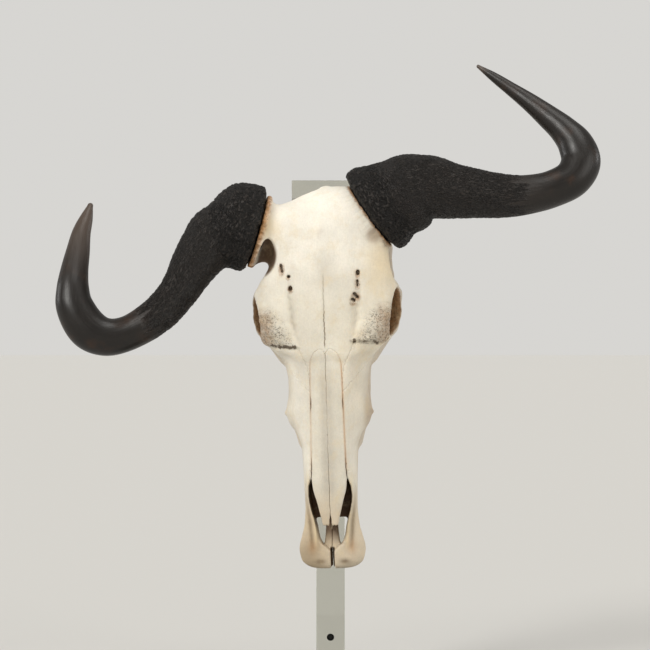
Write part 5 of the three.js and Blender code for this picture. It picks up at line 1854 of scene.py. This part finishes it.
@dataclass
class Stand:
    """The base plate, the acrylic upright and head plate, and the two pegs that carry the skull."""

    scatter: Scatter
    acrylic: AcrylicFinish = AcrylicFinish()
    steel: SteelFinish = SteelFinish()
    felt: FeltFinish = FeltFinish()
    edge: float = 0.0008
    base_edge: float = 0.002
    base_corner: float = 0.014
    screw_radius: float = 0.0045
    screw_inset: float = 0.02
    screw_pitch: float = 0.025
    crease: float = math.radians(35)

    def bevelled(self, name: str, node: str, corner: float, edge: float, finish: Finish) -> None:
        """A box that fills a CAD node's box, with round upright corners and softened edges.

        Args:
            name: The piece's name.
            node: The CAD node that it stands for.
            corner: The radius of its upright corners.
            edge: The radius of its edges.
            finish: Its finish.
        """
        low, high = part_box(node)
        bm = bmesh.new()
        bmesh.ops.create_cube(bm, size=1)
        for vertex in bm.verts:
            vertex.co = Vector((low[i] + (vertex.co[i] + 0.5) * (high[i] - low[i]) for i in range(3)))
        if corner > edge:
            upright = [e for e in bm.edges if abs(e.verts[0].co.z - e.verts[1].co.z) > 1e-6]
            bmesh.ops.bevel(bm, geom=upright, offset=corner, segments=10, profile=0.5, affect="EDGES")
        sharp = [e for e in bm.edges if e.calc_face_angle(0) > 0.6]
        bmesh.ops.bevel(bm, geom=sharp, offset=edge, segments=3, profile=0.5, affect="EDGES")
        hand_over(self.creased(name, bm, finish), node)

    def creased(self, name: str, bm: bmesh.types.BMesh, finish: Finish) -> Thing:
        """Makes an object of a bmesh in its finish, with sharp edges where it turns a corner."""
        made = from_bmesh(name, bm)
        made.data.materials.append(finish.material)
        made.data.set_sharp_from_angle(angle=self.crease)
        return made

    def turned(self, name: str, centre: Point, start: float, outline: list[tuple[float, float]], finish: Finish,
               sides: int = 48) -> Thing:
        """A round piece along Y, turned from an outline.

        Args:
            name: The piece's name.
            centre: x and z of its axis, with y unused.
            start: Where the outline's zero lies on Y.
            outline: Pairs of a place along Y and a radius, from end to end.
            finish: Its finish.
            sides: How many sides it has.

        Returns:
            The piece.
        """
        turn = np.linspace(0, 2 * math.pi, sides, endpoint=False)
        bm = bmesh.new()
        rings = [[bm.verts.new((centre[0] + r * math.cos(t), start + y, centre[2] + r * math.sin(t))) for t in turn]
                 for y, r in outline]
        for one, two in zip(rings, rings[1:]):
            for i in range(sides):
                bm.faces.new((one[i], one[(i + 1) % sides], two[(i + 1) % sides], two[i]))
        for ring in (rings[0], rings[-1]):
            bm.faces.new(ring)
        return self.creased(name, bm, finish)

    def peg(self, node: str) -> None:
        """A peg with a flange at the stand and a felt pad at the bone."""
        low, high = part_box(node)
        centre = ((low.x + high.x) / 2, 0.0, (low.z + high.z) / 2)
        radius = (high.x - low.x) / 2
        length = high.y - low.y
        flange, thick, chamfer = radius * 1.75, 0.003, 0.0006
        outline = [(0.0, radius), (length - thick, radius), (length - thick, flange - chamfer),
                   (length - thick + chamfer, flange), (length, flange)]
        hand_over(self.turned(f"{node}_rod", centre, low.y, outline, self.steel), node)
        pad = [(-0.0004, radius + 0.0002), (0.0, radius + 0.0014), (0.0021, radius + 0.0014),
               (0.0025, radius + 0.0001)]
        hand_over(self.turned(f"{node}_pad", centre, low.y + 0.001, pad, self.felt))

    def screws(self) -> None:
        """Button-head screws down the back of the upright, which hold the head plate and the base."""
        r = self.screw_radius
        outline = [(-0.001, r * 0.55), (0.0, r * 0.55), (0.0, r), (r * 0.25, r), (r * 0.5, r * 0.86),
                   (r * 0.62, r * 0.6), (r * 0.62, r * 0.36), (r * 0.3, r * 0.34)]
        head = self.turned("screw", (0.0, 0.0, 0.0), 0.0, outline, self.steel, 24)
        low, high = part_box("stand_post")
        plate_low, plate_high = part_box("stand_plate")
        middle = (low.x + high.x) / 2
        inset = self.screw_inset
        heights = [plate_low.z + inset, plate_high.z - inset, low.z + inset, low.z + inset + self.screw_pitch]
        points = np.array([[middle, high.y, z] for z in heights])
        made = self.scatter.on("stand_screws", points, np.ones((4, 3)), np.zeros((4, 3)), head, self.steel)
        hand_over(made)

    def build(self) -> None:
        """Makes the stand's pieces."""
        self.bevelled("stand_base_plate", "stand_base", self.base_corner, self.base_edge, self.steel)
        self.bevelled("stand_upright", "stand_post", 0, self.edge, self.acrylic)
        self.bevelled("stand_head_plate", "stand_plate", 0, self.edge, self.acrylic)
        self.screws()
        self.peg("stand_peg_palate")
        self.peg("stand_peg_nuchal")


@dataclass(frozen=True)
class SoftSun:
    """A broad, soft studio light from far away, which falls on all of the floor alike."""

    name: str
    towards: Point
    strength: float
    spread: float
    colour: tuple[float, float, float] = (1.0, 1.0, 1.0)

    def build(self) -> None:
        """Hangs the light."""
        lamp = bpy.data.lights.new(self.name, "SUN")
        lamp.energy = self.strength
        lamp.angle = math.radians(self.spread)
        lamp.color = self.colour
        made = bpy.data.objects.new(self.name, lamp)
        made.location = Vector(self.towards).normalized() * 3
        made.rotation_euler = Vector(self.towards).to_track_quat("Z", "Y").to_euler()
        bpy.context.scene.collection.objects.link(made)

    def on_level(self) -> float:
        """How much light it sheds on a level floor."""
        return self.strength * max(0.0, Vector(self.towards).normalized().z)


@dataclass(frozen=True)
class Studio:
    """The camera in front, a pale floor as bright as the pale surroundings, and soft lights."""

    camera_place: Point = (-0.007, -2.65, 0.453)
    lens: float = 120
    sensor: float = 36
    floor_size: float = 60
    pale: tuple = (1.0, 0.985, 0.95, 1.0)
    brightness: float = 0.68
    ambience: float = 0.42
    lights: tuple[SoftSun, ...] = (
        SoftSun("key", (-0.56, -0.66, 0.5), 1.62, 24, (1.0, 0.985, 0.95)),
        SoftSun("crown", (0.15, -0.3, 1.0), 0.9, 35, (1.0, 0.985, 0.95)),
        SoftSun("fill", (0.75, -0.62, 0.3), 0.68, 40, (1.0, 0.97, 0.92)),
        SoftSun("rim_right", (-1.0, 0.25, 0.25), 0.35, 18),
        SoftSun("rim_left", (1.0, 0.25, 0.3), 0.3, 18))

    def build(self) -> None:
        """Sets up the camera, surroundings, floor and lights."""
        scene = bpy.context.scene
        camera = bpy.data.cameras.new("camera")
        camera.lens, camera.sensor_width = self.lens, self.sensor
        made = bpy.data.objects.new("camera", camera)
        made.location = self.camera_place
        made.rotation_euler = (math.radians(90), 0, 0)
        scene.collection.objects.link(made)
        scene.camera = made
        scene.view_settings.view_transform = "Standard"
        world = bpy.data.worlds.new("surroundings")
        world.use_nodes = True
        tree = world.node_tree
        backdrop = tree.nodes["Background"]
        backdrop.inputs["Color"].default_value = self.pale
        seen = tree.nodes.new("ShaderNodeLightPath")
        strength = tree.nodes.new("ShaderNodeMapRange")
        strength.inputs["To Min"].default_value = self.ambience
        strength.inputs["To Max"].default_value = self.brightness
        tree.links.new(seen.outputs["Is Camera Ray"], strength.inputs["Value"])
        tree.links.new(strength.outputs["Result"], backdrop.inputs["Strength"])
        scene.world = world
        self.floor()
        for light in self.lights:
            light.build()

    def floor(self) -> None:
        """Lays the pale floor."""
        half = self.floor_size / 2
        corners = np.array([[-half, -half, 0], [half, -half, 0], [half, half, 0], [-half, half, 0]])
        made = new_object("floor", corners, np.array([[0, 1, 2, 3]]))
        material = bpy.data.materials.new("pale_floor")
        material.use_nodes = True
        shader = material.node_tree.nodes["Principled BSDF"]
        lit = sum(light.on_level() for light in self.lights) / math.pi + self.ambience
        shader.inputs["Base Color"].default_value = tuple(c * self.brightness / lit for c in self.pale[:3]) + (1.0,)
        shader.inputs["Roughness"].default_value = 1.0
        shader.inputs["Specular IOR Level"].default_value = 0.0
        made.data.materials.append(material)


def build_horns() -> None:
    """Makes both horn sheaths."""
    skin, finish = HornSkin(), HornFinish()
    for horn in (RIGHT_HORN, LEFT_HORN):
        hand_over(horn.build(skin, finish), f"horn_{horn.side.label}")


def main() -> None:
    """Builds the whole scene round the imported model."""
    logging.basicConfig(level=logging.INFO, format="%(name)s: %(message)s")
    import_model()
    Studio().build()
    form = SkullForm()
    scatter = Scatter()
    Skull(form, (RIGHT_HORN, LEFT_HORN)).build()
    Teeth(form, scatter).build()
    build_horns()
    Stand(scatter).build()


if __name__ == "__main__":
    main()
